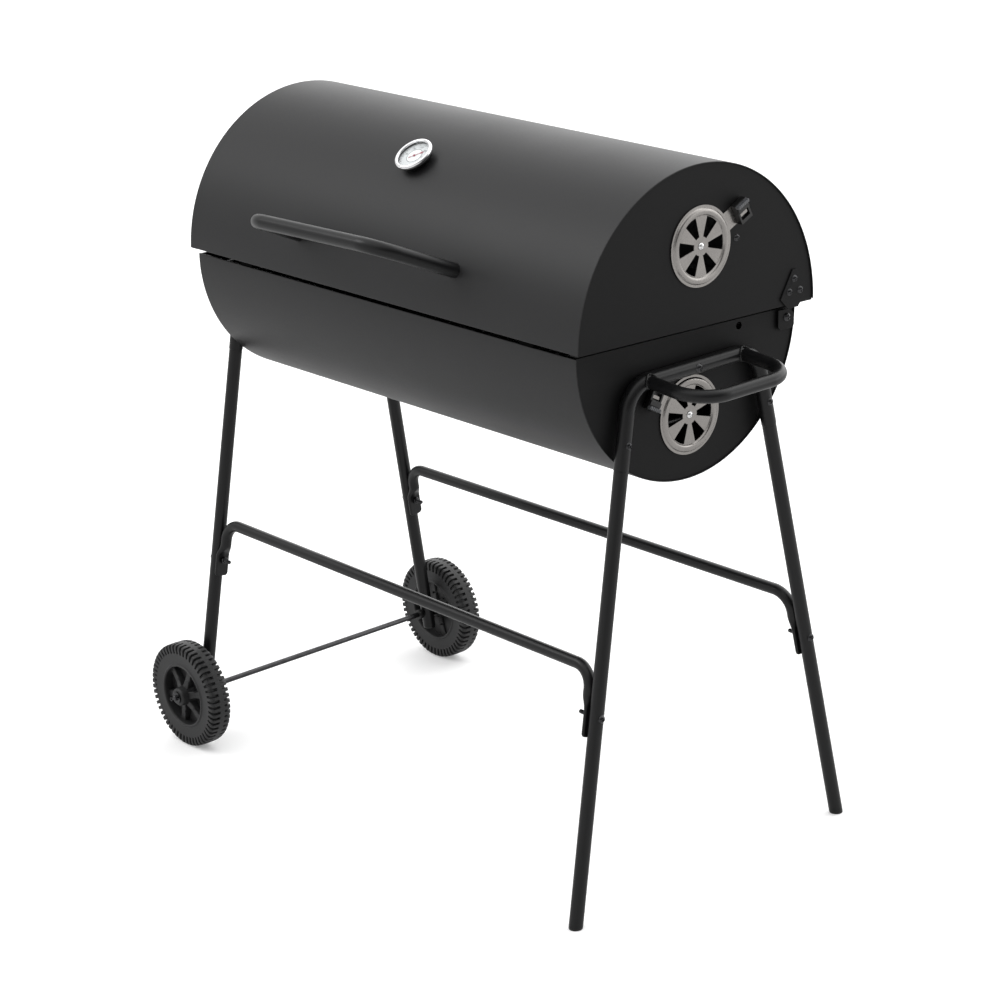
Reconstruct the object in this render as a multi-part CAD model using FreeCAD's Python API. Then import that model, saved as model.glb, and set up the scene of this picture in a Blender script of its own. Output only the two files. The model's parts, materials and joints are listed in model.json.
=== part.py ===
import FreeCAD, Part
import math
import os
from FreeCAD import Vector

# Barrel charcoal grill: a half-barrel lid hinged on a half-barrel bowl, two tubular end
# frames, two long stretchers, two wheels on an axle rod, air vents and grates.
# Millimetres.  +Z up, floor at Z = 0, X runs along the barrel (+X = carry-handle end),
# -Y is the front (lid handle and thermometer).  Origin: on the floor under the middle.

# ---- driving dimensions -------------------------------------------------------------
AXIS_Z = 750.0           # height of the lid's cylinder axis
BARREL_TILT = 1.56       # the barrel sits front-up on its frame by this many degrees
SHEET = 1.2              # thickness of all sheet metal
GAP = 0.4                # clearance between pieces that move past each other
CENTRE = (5.5, 18.8)     # puts the origin under the middle of the whole grill's box

LID_R = 210.0
LID_X = (-400.0, 400.0)
LID_EDGE_Z = 750.8       # the lid's lower edge
BOWL_R = 195.4
BOWL_AXIS_Z = 740.4      # the bowl's axis and rim height
BOWL_X = (-401.3, 381.0)
FLANGE = 13.0            # width of the turned-in flange of every end plate
RECESS = 2.0             # the end plates sit this far inside the shells' ends
HEM = 9.0                # folded hem along the long edges of lid and bowl

HINGE_Y = 178.0          # lid hinge, behind the barrel axis
HINGE_Z = 728.0
HINGE_BOLT_R = 3.0
HINGE_NECK = (162.0, 181.0)
RUNNING = 0.06           # radial clearance of a bore that turns on a bolt or axle

VENT_R = 52.5            # sliding vent discs on the right-hand end plates
VENT_T = 1.2
VENT_LIFT = 2.4          # depth of the pressed dish of a vent disc
LID_VENT_Y = 1.5         # pivots of the two vents
LID_VENT_Z = 854.0
BOWL_VENT_Y = 3.6
BOWL_VENT_Z = 630.0
SLOTS = 6
SLOT_R = (12.5, 38.7)
SLOT_HALF = 15.0         # half the angle of one wedge slot
TAB_REACH = 76.0         # the tab's end, inside its finger piece
TAB_W = 26.0
KNOB_R = (66.0, 87.0)    # the finger piece, measured from the pivot
KNOB_HALF = 14.5
LID_TAB_ANGLE = 28.0
BOWL_TAB_ANGLE = 153.0
STOP_R = 65.5            # stop screw: distance from the pivot, and angle behind the tab
STOP_BEHIND = 28.0

HANDLE_D = 20.0          # lid handle tube
HANDLE_HALF = 159.4      # half the distance between its feet
HANDLE_FOOT = 17.1       # angle of the feet above the horizontal, in degrees
HANDLE_AIM = 22.1        # direction in which the handle stands out
HANDLE_OUT = 111.0
HANDLE_LEAN = 15.0       # the two arms lean towards each other
HANDLE_BEND = 43.0
HANDLE_OFF_LEVEL = 1.1   # the bar rises towards +X by the slack of its screw holes

GAUGE_X = -3.0           # thermometer, and its angle above the horizontal
GAUGE_ANGLE = 54.5
GAUGE_R = 27.5
GAUGE_FACE = 15.0        # height of the bezel's front above the lid
GAUGE_CUP_R = 24.5

FRAME_D = 20.0           # upper tube of the end frames
LEG_D = 19.0
WALL = 1.2
LEG_BORE_R = FRAME_D / 2 - 2 * WALL
FRAME_Z = 696.0          # height of the frames' horizontal tubes
FRAME_BEND = 40.0
LEG_SEAM = 108.0         # length down the leg at which the leg tube takes over
LEG_SCREW_UP = 33.0      # leg screws, above that seam
SPIGOT = 52.0            # length of the leg's narrowed end inside the frame tube
# Each end frame: place of its horizontal tube, sharp corner half width, sideways splay
# of its legs and outward lean at the floor, and heights of the stretchers' bolts and tips.
RIGHT = {"name": "right", "side": 1, "x": 389.0, "corner": 113.2, "splay": 10.9, "lean": 1.95,
         "bolt_z": 276.0, "tip_z": 248.0}
LEFT = {"name": "left", "side": -1, "x": -409.3, "corner": 116.8, "splay": 9.1, "lean": 1.7,
        "bolt_z": 278.0, "tip_z": 254.5}

CARRY_D = 17.5           # side carry handle
CARRY_X = 486.4
CARRY_HALF = 83.7
CARRY_BEND = 46.0
CARRY_DROOP = 4.2

STRETCHER_D = 16.0
STRETCHER_Z = 335.0
STRETCHER_BEND = 29.0
STRETCHER_ROUND_Z = 305.0  # here the tube is still round
STRETCHER_FLAT_Z = 291.0   # and here it is already flat
FLAT_T = 5.0             # thickness and width of the stretchers' flattened ends
FLAT_W = 21.0

WHEEL_R = 78.5
WHEEL_Y = (226.0, 260.0)  # inner and outer planes of a wheel
HUB_Y = (231.4, 268.0)   # inner and outer ends of its hub, clear of the slanted leg
TREAD_DEPTH = 4.0
RIM_BORE_R = 44.0        # inside of the flat ring between spokes and tread
LUGS = 24
AXLE_D = 8.0
AXLE_END = 274.0
LEFT_LEG_END_Z = 54.0

COOK_Z = 722.0           # underside of the cooking grates
COAL_Z = 612.0           # underside of the charcoal grate
WIRE = 4.0
FRAME_WIRE = 6.0

LID_PLATE_X = (LID_X[0] + RECESS, LID_X[1] - RECESS)
BOWL_PLATE_X = (BOWL_X[0] + RECESS, BOWL_X[1] - RECESS)

X_DIR = Vector(1, 0, 0)
Y_DIR = Vector(0, 1, 0)
Z_DIR = Vector(0, 0, 1)
PARTS = {}


# ---- small helpers ------------------------------------------------------------------
def fuse(shapes):
    """One solid from touching or overlapping solids."""
    joined = shapes[0].multiFuse(shapes[1:]) if len(shapes) > 1 else shapes[0]
    return joined.removeSplitter()


def group(shapes):
    """Separate solids kept side by side in one node."""
    solids = []
    for shape in shapes:
        solids.extend(shape.Solids)
    return Part.makeCompound(solids)


def rod(start, end, radius):
    """A round bar between two points."""
    run = end - start
    return Part.makeCylinder(radius, run.Length, start, run)


def ring(start, end, outer, inner):
    """A round tube between two points."""
    return rod(start, end, outer).cut(rod(start, end, inner))


def box(low, high):
    size = high - low
    return Part.makeBox(size.x, size.y, size.z, low)


def turned(shape, centre, axis, degrees):
    copy = shape.copy()
    copy.rotate(centre, axis, degrees)
    return copy


def moved(shape, offset):
    copy = shape.copy()
    copy.translate(offset)
    return copy


def barrel(shape):
    """From the level barrel to its real attitude, front edge slightly up."""
    return turned(shape, Vector(0, 0, AXIS_Z), X_DIR, -BARREL_TILT)


def polar(x, centre_z, radius, degrees):
    """A point in the plane X = x, measured from +Y towards +Z."""
    angle = math.radians(degrees)
    return Vector(x, radius * math.cos(angle), centre_z + radius * math.sin(angle))


def arc_edge(x, centre_z, radius, start, end):
    points = [polar(x, centre_z, radius, a) for a in (start, (start + end) / 2, end)]
    return Part.Arc(*points).toShape()


def line(a, b):
    return Part.makeLine(a, b)


def bent_wall(x0, x1, centre_z, outer, thickness, start, end):
    """Sheet rolled to a radius about the X direction, between two angles."""
    inner = outer - thickness
    edges = [
        arc_edge(x0, centre_z, outer, start, end),
        line(polar(x0, centre_z, outer, end), polar(x0, centre_z, inner, end)),
        arc_edge(x0, centre_z, inner, end, start),
        line(polar(x0, centre_z, inner, start), polar(x0, centre_z, outer, start)),
    ]
    return Part.Face(Part.Wire(edges)).extrude(Vector(x1 - x0, 0, 0))


def half_disc(x0, x1, centre_z, radius, start, end):
    edges = [
        arc_edge(x0, centre_z, radius, start, end),
        line(polar(x0, centre_z, radius, end), polar(x0, centre_z, radius, start)),
    ]
    return Part.Face(Part.Wire(edges)).extrude(Vector(x1 - x0, 0, 0))


def rounded_path(points, bend):
    """Straight runs joined by tangent arcs."""
    edges = []
    start = points[0]
    for before, corner, after in zip(points, points[1:], points[2:]):
        to_start = (before - corner).normalize()
        to_end = (after - corner).normalize()
        half = to_start.getAngle(to_end) / 2
        enter = corner + to_start * (bend / math.tan(half))
        leave = corner + to_end * (bend / math.tan(half))
        bisector = (to_start + to_end).normalize()
        middle = corner + bisector * (bend / math.sin(half) - bend)
        edges.append(line(start, enter))
        edges.append(Part.Arc(enter, middle, leave).toShape())
        start = leave
    edges.append(line(start, points[-1]))
    return Part.Wire(edges)


def bent_bar(points, bend, radius):
    path = rounded_path(points, bend)
    circle = Part.Wire(Part.makeCircle(radius, points[0], points[1] - points[0]))
    return path.makePipeShell([circle], True, False)


def bent_tube(points, bend, diameter, wall=WALL):
    outer = bent_bar(points, bend, diameter / 2)
    return outer.cut(bent_bar(points, bend, diameter / 2 - wall))


def dome_screw(seat, out, head_r, head_h, shank_r, shank):
    """Pan-head screw: a domed head with a cross recess standing on its seat."""
    out = Vector(out).normalize()
    sphere_r = (head_r ** 2 + head_h ** 2) / (2 * head_h)
    head = Part.makeSphere(sphere_r, Vector(0, 0, head_h - sphere_r))
    head = head.common(Part.makeCylinder(head_r, head_h + 1))
    for angle in (0, 90):
        bar = Part.makeBox(head_r * 1.15, head_r * 0.26, head_h)
        bar.translate(Vector(-head_r * 0.575, -head_r * 0.13, head_h * 0.45))
        head = head.cut(turned(bar, Vector(), Z_DIR, angle))
    screw = fuse([head, Part.makeCylinder(shank_r, shank, Vector(), Z_DIR * -1)])
    screw.Placement = FreeCAD.Placement(seat, FreeCAD.Rotation(Z_DIR, out))
    return screw


def hex_nut(seat, out, across_flats, height, bore):
    """Hexagon nut standing on its seat."""
    corner_r = across_flats / math.sqrt(3)
    corners = []
    for k in range(7):
        angle = math.radians(60 * k)
        corners.append(Vector(corner_r * math.cos(angle), corner_r * math.sin(angle), 0))
    nut = Part.Face(Part.makePolygon(corners)).extrude(Vector(0, 0, height))
    chamfer = Part.makeCone(corner_r + 0.1, across_flats / 2 - 0.2, height * 1.6)
    nut = nut.common(moved(chamfer, Vector(0, 0, -height * 0.35)))
    nut = nut.cut(Part.makeCylinder(bore, height * 3, Vector(0, 0, -height)))
    nut.Placement = FreeCAD.Placement(seat, FreeCAD.Rotation(Z_DIR, Vector(out).normalize()))
    return nut


def add(name, shape):
    PARTS[name] = shape


# ---- barrel -------------------------------------------------------------------------
def wedge_slots(x0, x1, centre_y, centre_z):
    """The six wedge-shaped air slots of a vent."""
    slots = []
    for k in range(SLOTS):
        middle = 360.0 / SLOTS * k
        depth = SLOT_R[1] - SLOT_R[0]
        slot = bent_wall(x0, x1, centre_z, SLOT_R[1], depth,
                         middle - SLOT_HALF, middle + SLOT_HALF)
        slots.append(moved(slot, Y_DIR * centre_y))
    return slots


def vent_stop(plate_x, centre_y, centre_z, tab_angle):
    """Place of the stop screw beside a vent's tab."""
    return polar(plate_x, centre_z, STOP_R, tab_angle - STOP_BEHIND) + Y_DIR * centre_y


def end_plate(outer_x, inward, centre_z, radius, start, end):
    """End plate with a turned-in flange that fits inside its shell."""
    plate = half_disc(outer_x, outer_x + inward * SHEET, centre_z, radius, start, end)
    flange = bent_wall(outer_x, outer_x + inward * FLANGE, centre_z, radius, SHEET,
                       start, end)
    return fuse([plate, flange])


def hole_x(shape, x, y, z, radius, depth=12.0):
    cutter = rod(Vector(x - depth, y, z), Vector(x + depth, y, z), radius)
    return shape.cut(cutter)


def rim_angles(radius, axis_z, edge_z):
    rise = math.degrees(math.asin((edge_z - axis_z) / radius))
    return rise, 180.0 - rise


def lid_parts():
    start, end = rim_angles(LID_R, AXIS_Z, LID_EDGE_Z)
    shell = bent_wall(LID_X[0], LID_X[1], AXIS_Z, LID_R, SHEET, start, end)
    hem_turn = math.degrees(HEM / LID_R)
    hem_x = (LID_X[0] + FLANGE + 3, LID_X[1] - FLANGE - 3)
    for a, b in ((start, start + hem_turn), (end - hem_turn, end)):
        shell = shell.fuse(bent_wall(hem_x[0], hem_x[1], AXIS_Z, LID_R - SHEET,
                                     SHEET, a, b))
    point, direction = gauge_frame()
    shell = shell.cut(rod(point - direction * 8, point + direction * 8, 5.0))
    for foot in handle_feet():
        shell = shell.cut(rod(foot - handle_out() * 12, foot + handle_out() * 12, 2.6))
    add("lid_shell", barrel(shell.removeSplitter()))

    inner_r = LID_R - SHEET
    right = end_plate(LID_PLATE_X[1], -1, AXIS_Z, inner_r, start, end)
    for slot in wedge_slots(LID_PLATE_X[1] - 5, LID_PLATE_X[1] + 5, LID_VENT_Y, LID_VENT_Z):
        right = right.cut(slot)
    right = hole_x(right, LID_PLATE_X[1], LID_VENT_Y, LID_VENT_Z, 2.5)
    stop = vent_stop(LID_PLATE_X[1], LID_VENT_Y, LID_VENT_Z, LID_TAB_ANGLE)
    right = hole_x(right, stop.x, stop.y, stop.z, 2.5)
    left = end_plate(LID_PLATE_X[0], 1, AXIS_Z, inner_r, start, end)
    for y, z in hinge_screw_places():
        right = hole_x(right, LID_PLATE_X[1], y, z, 2.5)
        left = hole_x(left, LID_PLATE_X[0], y, z, 2.5)
    add("lid_end_right", barrel(right))
    add("lid_end_left", barrel(left))


def bowl_parts():
    start, end = 180.0, 360.0
    shell = bent_wall(BOWL_X[0], BOWL_X[1], BOWL_AXIS_Z, BOWL_R, SHEET, start, end)
    hem_turn = math.degrees(HEM / BOWL_R)
    hem_x = (BOWL_X[0] + FLANGE + 3, BOWL_X[1] - FLANGE - 3)
    for a, b in ((start, start + hem_turn), (end - hem_turn, end)):
        shell = shell.fuse(bent_wall(hem_x[0], hem_x[1], BOWL_AXIS_Z, BOWL_R - SHEET,
                                     SHEET, a, b))
    add("bowl_shell", barrel(shell.removeSplitter()))

    inner_r = BOWL_R - SHEET
    right = end_plate(BOWL_PLATE_X[1], -1, BOWL_AXIS_Z, inner_r, start, end)
    for slot in wedge_slots(BOWL_PLATE_X[1] - 5, BOWL_PLATE_X[1] + 5, BOWL_VENT_Y, BOWL_VENT_Z):
        right = right.cut(slot)
    right = hole_x(right, BOWL_PLATE_X[1], BOWL_VENT_Y, BOWL_VENT_Z, 2.5)
    stop = vent_stop(BOWL_PLATE_X[1], BOWL_VENT_Y, BOWL_VENT_Z, BOWL_TAB_ANGLE)
    right = hole_x(right, stop.x, stop.y, stop.z, 2.5)
    right = hole_x(right, BOWL_PLATE_X[1], 93.0, 731.0, 3.8)
    right = hole_x(right, BOWL_PLATE_X[1], HINGE_Y, HINGE_Z, HINGE_BOLT_R)
    left = end_plate(BOWL_PLATE_X[0], 1, BOWL_AXIS_Z, inner_r, start, end)
    left = hole_x(left, BOWL_PLATE_X[0], HINGE_Y, HINGE_Z, HINGE_BOLT_R)
    bolt = turned(Part.makeCylinder(3.0, 40, Vector(BOWL_PLATE_X[1] - 20, 0, FRAME_Z), X_DIR),
                  Vector(0, 0, AXIS_Z), X_DIR, BARREL_TILT)
    right = right.cut(bolt)
    left = left.cut(moved(bolt, Vector(BOWL_PLATE_X[0] - BOWL_PLATE_X[1], 0, 0)))
    add("bowl_end_right", barrel(right))
    add("bowl_end_left", barrel(left))


def lid_rest_parts():
    """Two Z-shaped tabs inside the lid's front edge that land on the bowl's rim."""
    tabs = []
    for x in (-300.0, 280.0):
        wall_y = -(LID_R - 2 * SHEET)
        top = box(Vector(x, wall_y + 0.6, LID_EDGE_Z + 1), Vector(x + 26, wall_y + 2.6, 774))
        ledge = box(Vector(x, wall_y + 0.6, BOWL_AXIS_Z + GAP),
                    Vector(x + 26, wall_y + 18, BOWL_AXIS_Z + GAP + 2))
        web = box(Vector(x, wall_y + 0.6, BOWL_AXIS_Z + GAP),
                  Vector(x + 26, wall_y + 2.6, LID_EDGE_Z + 2))
        tabs.append(fuse([top, web, ledge]))
    add("lid_rest_tabs", barrel(group(tabs)))


# ---- hinges -------------------------------------------------------------------------
def hinge_screw_places():
    return [(173.5, 783.0), (164.5, 766.6), (184.4, 766.7)]


def outline_x(x, thickness, points):
    """A flat piece cut from sheet in the plane X = x."""
    corners = [Vector(x, y, z) for y, z in points]
    return Part.Face(Part.makePolygon(corners + corners[:1])).extrude(X_DIR * thickness)


def hinge_bracket(side, lid_x, lug_x, jog_top, jog_bottom):
    """Three-screw plate on the lid end, joggled across to a lug beside the bowl end."""
    sheet = 2.0 * side
    near, far = HINGE_NECK
    plate = outline_x(lid_x, sheet, [(near, jog_top), (148, 759), (169.5, 796),
                                     (176.5, 796), (191.5, 758), (far, jog_top)])
    lug = outline_x(lug_x, sheet, [(near, jog_bottom), (near, 716), (near + 4, 712), (188, 712),
                                   (192, 716), (192, 732), (far, 738), (far, jog_bottom)])
    web_side = [Vector(lid_x, near, jog_top), Vector(lid_x + sheet, near, jog_top),
                Vector(lug_x + sheet, near, jog_bottom), Vector(lug_x, near, jog_bottom)]
    web = Part.Face(Part.makePolygon(web_side + web_side[:1])).extrude(Y_DIR * (far - near))
    bracket = fuse([plate, web, lug])
    bracket = hole_x(bracket, lug_x, HINGE_Y, HINGE_Z, HINGE_BOLT_R + RUNNING)
    for y, z in hinge_screw_places():
        bracket = hole_x(bracket, lid_x, y, z, 2.5)
    return bracket


def hinge_parts():
    screws = []
    pivots = []
    spacers = []
    for name, side, lid_x, plate_x, jog in (
            ("right", 1, LID_PLATE_X[1], BOWL_PLATE_X[1], (745.0, 739.0)),
            ("left", -1, LID_PLATE_X[0], BOWL_PLATE_X[0], (757.0, 752.0))):
        rim_x = plate_x + side * RECESS
        lug_x = rim_x + side * GAP
        add("hinge_bracket_" + name, barrel(hinge_bracket(side, lid_x, lug_x, *jog)))
        out = X_DIR * side
        spacers.append(ring(Vector(plate_x, HINGE_Y, HINGE_Z),
                            Vector(rim_x, HINGE_Y, HINGE_Z), 7.0, HINGE_BOLT_R))
        for y, z in hinge_screw_places():
            screws.append(dome_screw(Vector(lid_x + side * 2, y, z), out, 4.2, 2.4, 2.4, 9))
            screws.append(hex_nut(Vector(lid_x - side * SHEET, y, z), out * -1, 7, 3.2, 2.4))
        seat = Vector(lug_x + side * (2 + GAP), HINGE_Y, HINGE_Z)
        pivots.append(dome_screw(seat, out, 6.0, 3.4, HINGE_BOLT_R, 14 + RECESS))
        inner = Vector(plate_x - side * SHEET, HINGE_Y, HINGE_Z)
        pivots.append(hex_nut(inner, out * -1, 10, 5, HINGE_BOLT_R))
    add("hinge_bracket_screws", barrel(group(screws)))
    add("hinge_pivot_bolts", barrel(group(pivots)))
    add("hinge_spacers", barrel(group(spacers)))


# ---- vents --------------------------------------------------------------------------
def vent_disc(plate_x, centre_z, tab_angle):
    """Pressed disc: flat rim, raised ring, dished centre, six slots and a finger tab."""
    back = plate_x + GAP
    centre = Vector(back, 0, centre_z)
    profile = [(2.1, 0), (16, 0), (VENT_R - 13, 0), (VENT_R - 10.5, VENT_LIFT),
               (VENT_R - 5.5, VENT_LIFT), (VENT_R - 3.5, 0), (VENT_R, 0),
               (VENT_R, VENT_T), (VENT_R - 3.0, VENT_T), (VENT_R - 5.0, VENT_LIFT + VENT_T),
               (VENT_R - 11, VENT_LIFT + VENT_T), (VENT_R - 13.5, VENT_T), (2.1, VENT_T)]
    corners = [centre + Vector(x, r, 0) for r, x in profile]
    disc = Part.Face(Part.makePolygon(corners + corners[:1])).revolve(centre, X_DIR, 360)
    for slot in wedge_slots(back - 2, back + 8, 0, centre_z):
        disc = disc.cut(slot)
    tab = box(Vector(back, VENT_R - 2, centre_z - TAB_W / 2),
              Vector(back + VENT_T, TAB_REACH, centre_z + TAB_W / 2))
    disc = fuse([disc, turned(tab, centre, X_DIR, tab_angle)])
    return disc.cut(rod(centre - X_DIR * 3, centre + X_DIR * 9, 2.0 + RUNNING))


def vent_knob(plate_x, centre_z, tab_angle):
    """Plastic finger piece moulded over the end of the tab, with a window in it."""
    back = plate_x + GAP
    near, far = KNOB_R
    low, high = centre_z - KNOB_HALF, centre_z + KNOB_HALF
    body = box(Vector(back + VENT_T, near, low), Vector(back + 10, far, high))
    body = body.makeFillet(1.2, body.Edges)
    window = box(Vector(back + 6, near + 5, low + 7), Vector(back + 14, far - 5, low + 15))
    finger = box(Vector(back + 9, near, high - 5), Vector(back + 15, far, high - 0.5))
    knob = fuse([body.cut(window), finger.makeFillet(1.0, finger.Edges)])
    return turned(knob, Vector(0, 0, centre_z), X_DIR, tab_angle)


def vent_parts():
    for name, plate_x, centre_y, centre_z, tab in (
            ("lid", LID_PLATE_X[1], LID_VENT_Y, LID_VENT_Z, LID_TAB_ANGLE),
            ("bowl", BOWL_PLATE_X[1], BOWL_VENT_Y, BOWL_VENT_Z, BOWL_TAB_ANGLE)):
        aside = Y_DIR * centre_y
        disc = moved(vent_disc(plate_x, centre_z, tab), aside)
        add(name + "_vent_disc", barrel(disc))
        knob = moved(vent_knob(plate_x, centre_z, tab), aside)
        add(name + "_vent_knob", barrel(knob))
        seat = Vector(plate_x + 2 * GAP + VENT_T, centre_y, centre_z)
        nut_seat = Vector(plate_x - SHEET, centre_y, centre_z)
        pivot = [dome_screw(seat, X_DIR, 5.0, 3.0, 2.0, 9),
                 hex_nut(nut_seat, X_DIR * -1, 8, 4, 2.0)]
        add(name + "_vent_pivot", barrel(group(pivot)))
        stop = vent_stop(plate_x, centre_y, centre_z, tab)
        add(name + "_vent_stop_screw", barrel(dome_screw(stop, X_DIR, 4.4, 2.6, 2.4, 6)))


# ---- lid handle and thermometer -----------------------------------------------------
def handle_out():
    angle = math.radians(HANDLE_AIM)
    return Vector(0, -math.cos(angle), math.sin(angle))


def handle_feet():
    angle = math.radians(HANDLE_FOOT)
    middle = Vector(0, -LID_R * math.cos(angle), AXIS_Z + LID_R * math.sin(angle))
    across = X_DIR * HANDLE_HALF + handle_up() * (HANDLE_HALF * math.tan(
        math.radians(HANDLE_OFF_LEVEL)))
    return middle - across, middle + across


def handle_up():
    return handle_out().cross(X_DIR).normalize() * -1


def lid_handle_parts():
    left, right = handle_feet()
    lean = X_DIR * (HANDLE_OUT * math.tan(math.radians(HANDLE_LEAN)))
    out = handle_out() * HANDLE_OUT
    arm = (out + lean).normalize()
    arm_right = (out - lean).normalize()
    points = [left - arm * 12, left + out + lean, right + out - lean, right - arm_right * 12]
    tube = bent_tube(points, HANDLE_BEND, HANDLE_D)
    lid_core = Part.makeCylinder(LID_R, 2 * LID_X[1], Vector(LID_X[0], 0, AXIS_Z), X_DIR)
    add("lid_handle", barrel(tube.cut(lid_core)))
    screws = []
    for foot in (left, right):
        radial = Vector(0, foot.y, foot.z - AXIS_Z).normalize()
        seat = Vector(foot.x, 0, AXIS_Z) + radial * (LID_R - SHEET - 0.4)
        screws.append(dome_screw(seat, radial * -1, 6.0, 3.2, 2.4, 16))
    add("lid_handle_screws", barrel(group(screws)))


def gauge_frame():
    angle = math.radians(GAUGE_ANGLE)
    out = Vector(0, -math.cos(angle), math.sin(angle))
    return Vector(GAUGE_X, 0, AXIS_Z) + out * LID_R, out


def gauge_revolve(profile):
    """Turn a radius/height outline about the thermometer's own axis."""
    point, out = gauge_frame()
    corners = [Vector(r, 0, h) for r, h in profile]
    solid = Part.Face(Part.makePolygon(corners + corners[:1])).revolve(Vector(), Z_DIR, 360)
    solid.Placement = FreeCAD.Placement(point, FreeCAD.Rotation(Z_DIR, out))
    return solid


def thermometer_parts():
    top = GAUGE_FACE
    cup = gauge_revolve([(4.9, 1.6), (15, 1.6), (GAUGE_CUP_R - 2, 3), (GAUGE_CUP_R, 5.5),
                         (GAUGE_CUP_R, top - 3.5), (GAUGE_CUP_R - 1.5, top - 3.5),
                         (GAUGE_CUP_R - 1.5, 7), (4.9, 7)])
    bezel = gauge_revolve([(GAUGE_CUP_R, top - 7), (GAUGE_R - 1, top - 7),
                           (GAUGE_R, top - 5.5), (GAUGE_R, top - 2.5), (GAUGE_R - 1.2, top - 0.6),
                           (GAUGE_R - 3.2, top), (GAUGE_R - 5.2, top - 0.8),
                           (GAUGE_R - 5.6, top - 2.8), (GAUGE_CUP_R, top - 2.8)])
    dial = gauge_revolve([(1.6, 8.0), (GAUGE_CUP_R - 1.7, 8.0), (GAUGE_CUP_R - 1.7, 9.0),
                          (1.6, 9.0)])
    lens = gauge_revolve([(0, top - 4.2), (GAUGE_CUP_R - 1.6, top - 4.2),
                          (GAUGE_CUP_R - 1.6, top - 3.0), (0, top - 3.0)])
    stem = gauge_revolve([(0, -70), (2.4, -70), (3.0, -68), (3.0, -14), (4.8, -14), (4.8, 7),
                          (1.2, 7), (1.2, 7.6), (0, 7.6)])
    point, out = gauge_frame()
    nut = hex_nut(point - out * (SHEET + 0.2), out * -1, 14, 5, 4.85)
    add("thermometer_cup", barrel(cup))
    add("thermometer_bezel", barrel(bezel))
    add("thermometer_dial", barrel(dial))
    add("thermometer_lens", barrel(lens))
    add("thermometer_stem", barrel(stem))
    add("thermometer_nut", barrel(nut))
    blade = [Vector(-7, -0.9, 9.4), Vector(12.5, -0.5, 9.4), Vector(14.5, 0, 9.4),
             Vector(12.5, 0.5, 9.4), Vector(-7, 0.9, 9.4)]
    needle = Part.Face(Part.makePolygon(blade + blade[:1])).extrude(Vector(0, 0, 0.5))
    hub = Part.makeCylinder(1.8, 0.9, Vector(0, 0, 9.4))
    needle = turned(fuse([needle, hub]), Vector(), Z_DIR, 40)
    needle.Placement = FreeCAD.Placement(point, FreeCAD.Rotation(Z_DIR, out)).multiply(
        needle.Placement)
    add("thermometer_needle", barrel(needle))


# ---- end frames, legs and handle ----------------------------------------------------
def frame_place(frame, shape):
    """From the upright frame plane X = 0 to the frame's place and outward lean."""
    leaned = turned(shape, Vector(0, 0, FRAME_Z), Y_DIR, -frame["side"] * frame["lean"])
    return moved(leaned, Vector(frame["x"], 0, 0))


def leg_direction(frame, y_side):
    splay = math.radians(frame["splay"])
    return Vector(0, y_side * math.sin(splay), -math.cos(splay))


def leg_point(frame, y_side, along):
    """A point on a leg's centre line, measured down from the sharp frame corner."""
    corner = Vector(0, y_side * frame["corner"], FRAME_Z)
    return corner + leg_direction(frame, y_side) * along


def leg_world(frame, y_side, height):
    """The leg's centre line where it passes a given height above the floor."""
    lean = math.radians(frame["lean"])
    drop = (FRAME_Z - height) / math.cos(lean)
    splay = math.radians(frame["splay"])
    y = y_side * (frame["corner"] + drop * math.tan(splay))
    return Vector(frame["x"] + frame["side"] * drop * math.sin(lean), y, height)


def end_frame(frame):
    points = [leg_point(frame, -1, LEG_SEAM), leg_point(frame, -1, 0),
              leg_point(frame, 1, 0), leg_point(frame, 1, LEG_SEAM)]
    tube = bent_tube(points, FRAME_BEND, FRAME_D)
    for y_side in (-1, 1):
        hole = leg_point(frame, y_side, LEG_SEAM - LEG_SCREW_UP)
        tube = tube.cut(rod(hole - X_DIR * 20, hole + X_DIR * 20, 2.4))
    centre = Vector(0, 0, FRAME_Z)
    tube = tube.cut(rod(centre - X_DIR * 20, centre + X_DIR * 20, 3.4))
    return frame_place(frame, tube)


def leg(frame, y_side, end_z):
    """Leg tube with a narrowed end that pushes into the frame tube."""
    start = leg_point(frame, y_side, LEG_SEAM)
    below = leg_point(frame, y_side, FRAME_Z / math.cos(math.radians(frame["splay"])) + 40)
    spigot_top = leg_point(frame, y_side, LEG_SEAM - SPIGOT)
    neck_r = FRAME_D / 2 - WALL
    outer = fuse([rod(start, below, LEG_D / 2), rod(spigot_top, start, neck_r)])
    tube = outer.cut(rod(spigot_top, below, LEG_BORE_R))
    hole = leg_point(frame, y_side, LEG_SEAM - LEG_SCREW_UP)
    tube = tube.cut(rod(hole - X_DIR * 20, hole + X_DIR * 20, 2.4))
    tube = frame_place(frame, tube)
    trimmed = tube.cut(box(Vector(-900, -900, -900), Vector(900, 900, end_z)))
    bolt = leg_world(frame, y_side, frame["bolt_z"])
    trimmed = trimmed.cut(rod(bolt - X_DIR * 20, bolt + X_DIR * 20, 3.2))
    if frame is LEFT:
        axle = leg_world(frame, y_side, WHEEL_R)
        trimmed = trimmed.cut(rod(axle - Y_DIR * 20, axle + Y_DIR * 20, AXLE_D / 2))
    return trimmed


def end_cap(frame, y_side, end_z):
    """Plastic plug in a leg's lower end, with a thin flange below the tube."""
    lip = 2.5
    foot = leg_world(frame, y_side, end_z)
    up = (leg_world(frame, y_side, end_z + 60) - foot).normalize()
    flange = rod(foot - up * 12, foot + up * 20, LEG_D / 2 - 0.2)
    flange = flange.common(box(Vector(-900, -900, end_z - lip), Vector(900, 900, end_z)))
    plug = rod(foot - up * 5, foot + up * 11, LEG_BORE_R - 0.05)
    plug = plug.common(box(Vector(-900, -900, end_z - lip), Vector(900, 900, end_z + 40)))
    return fuse([flange, plug])


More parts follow.
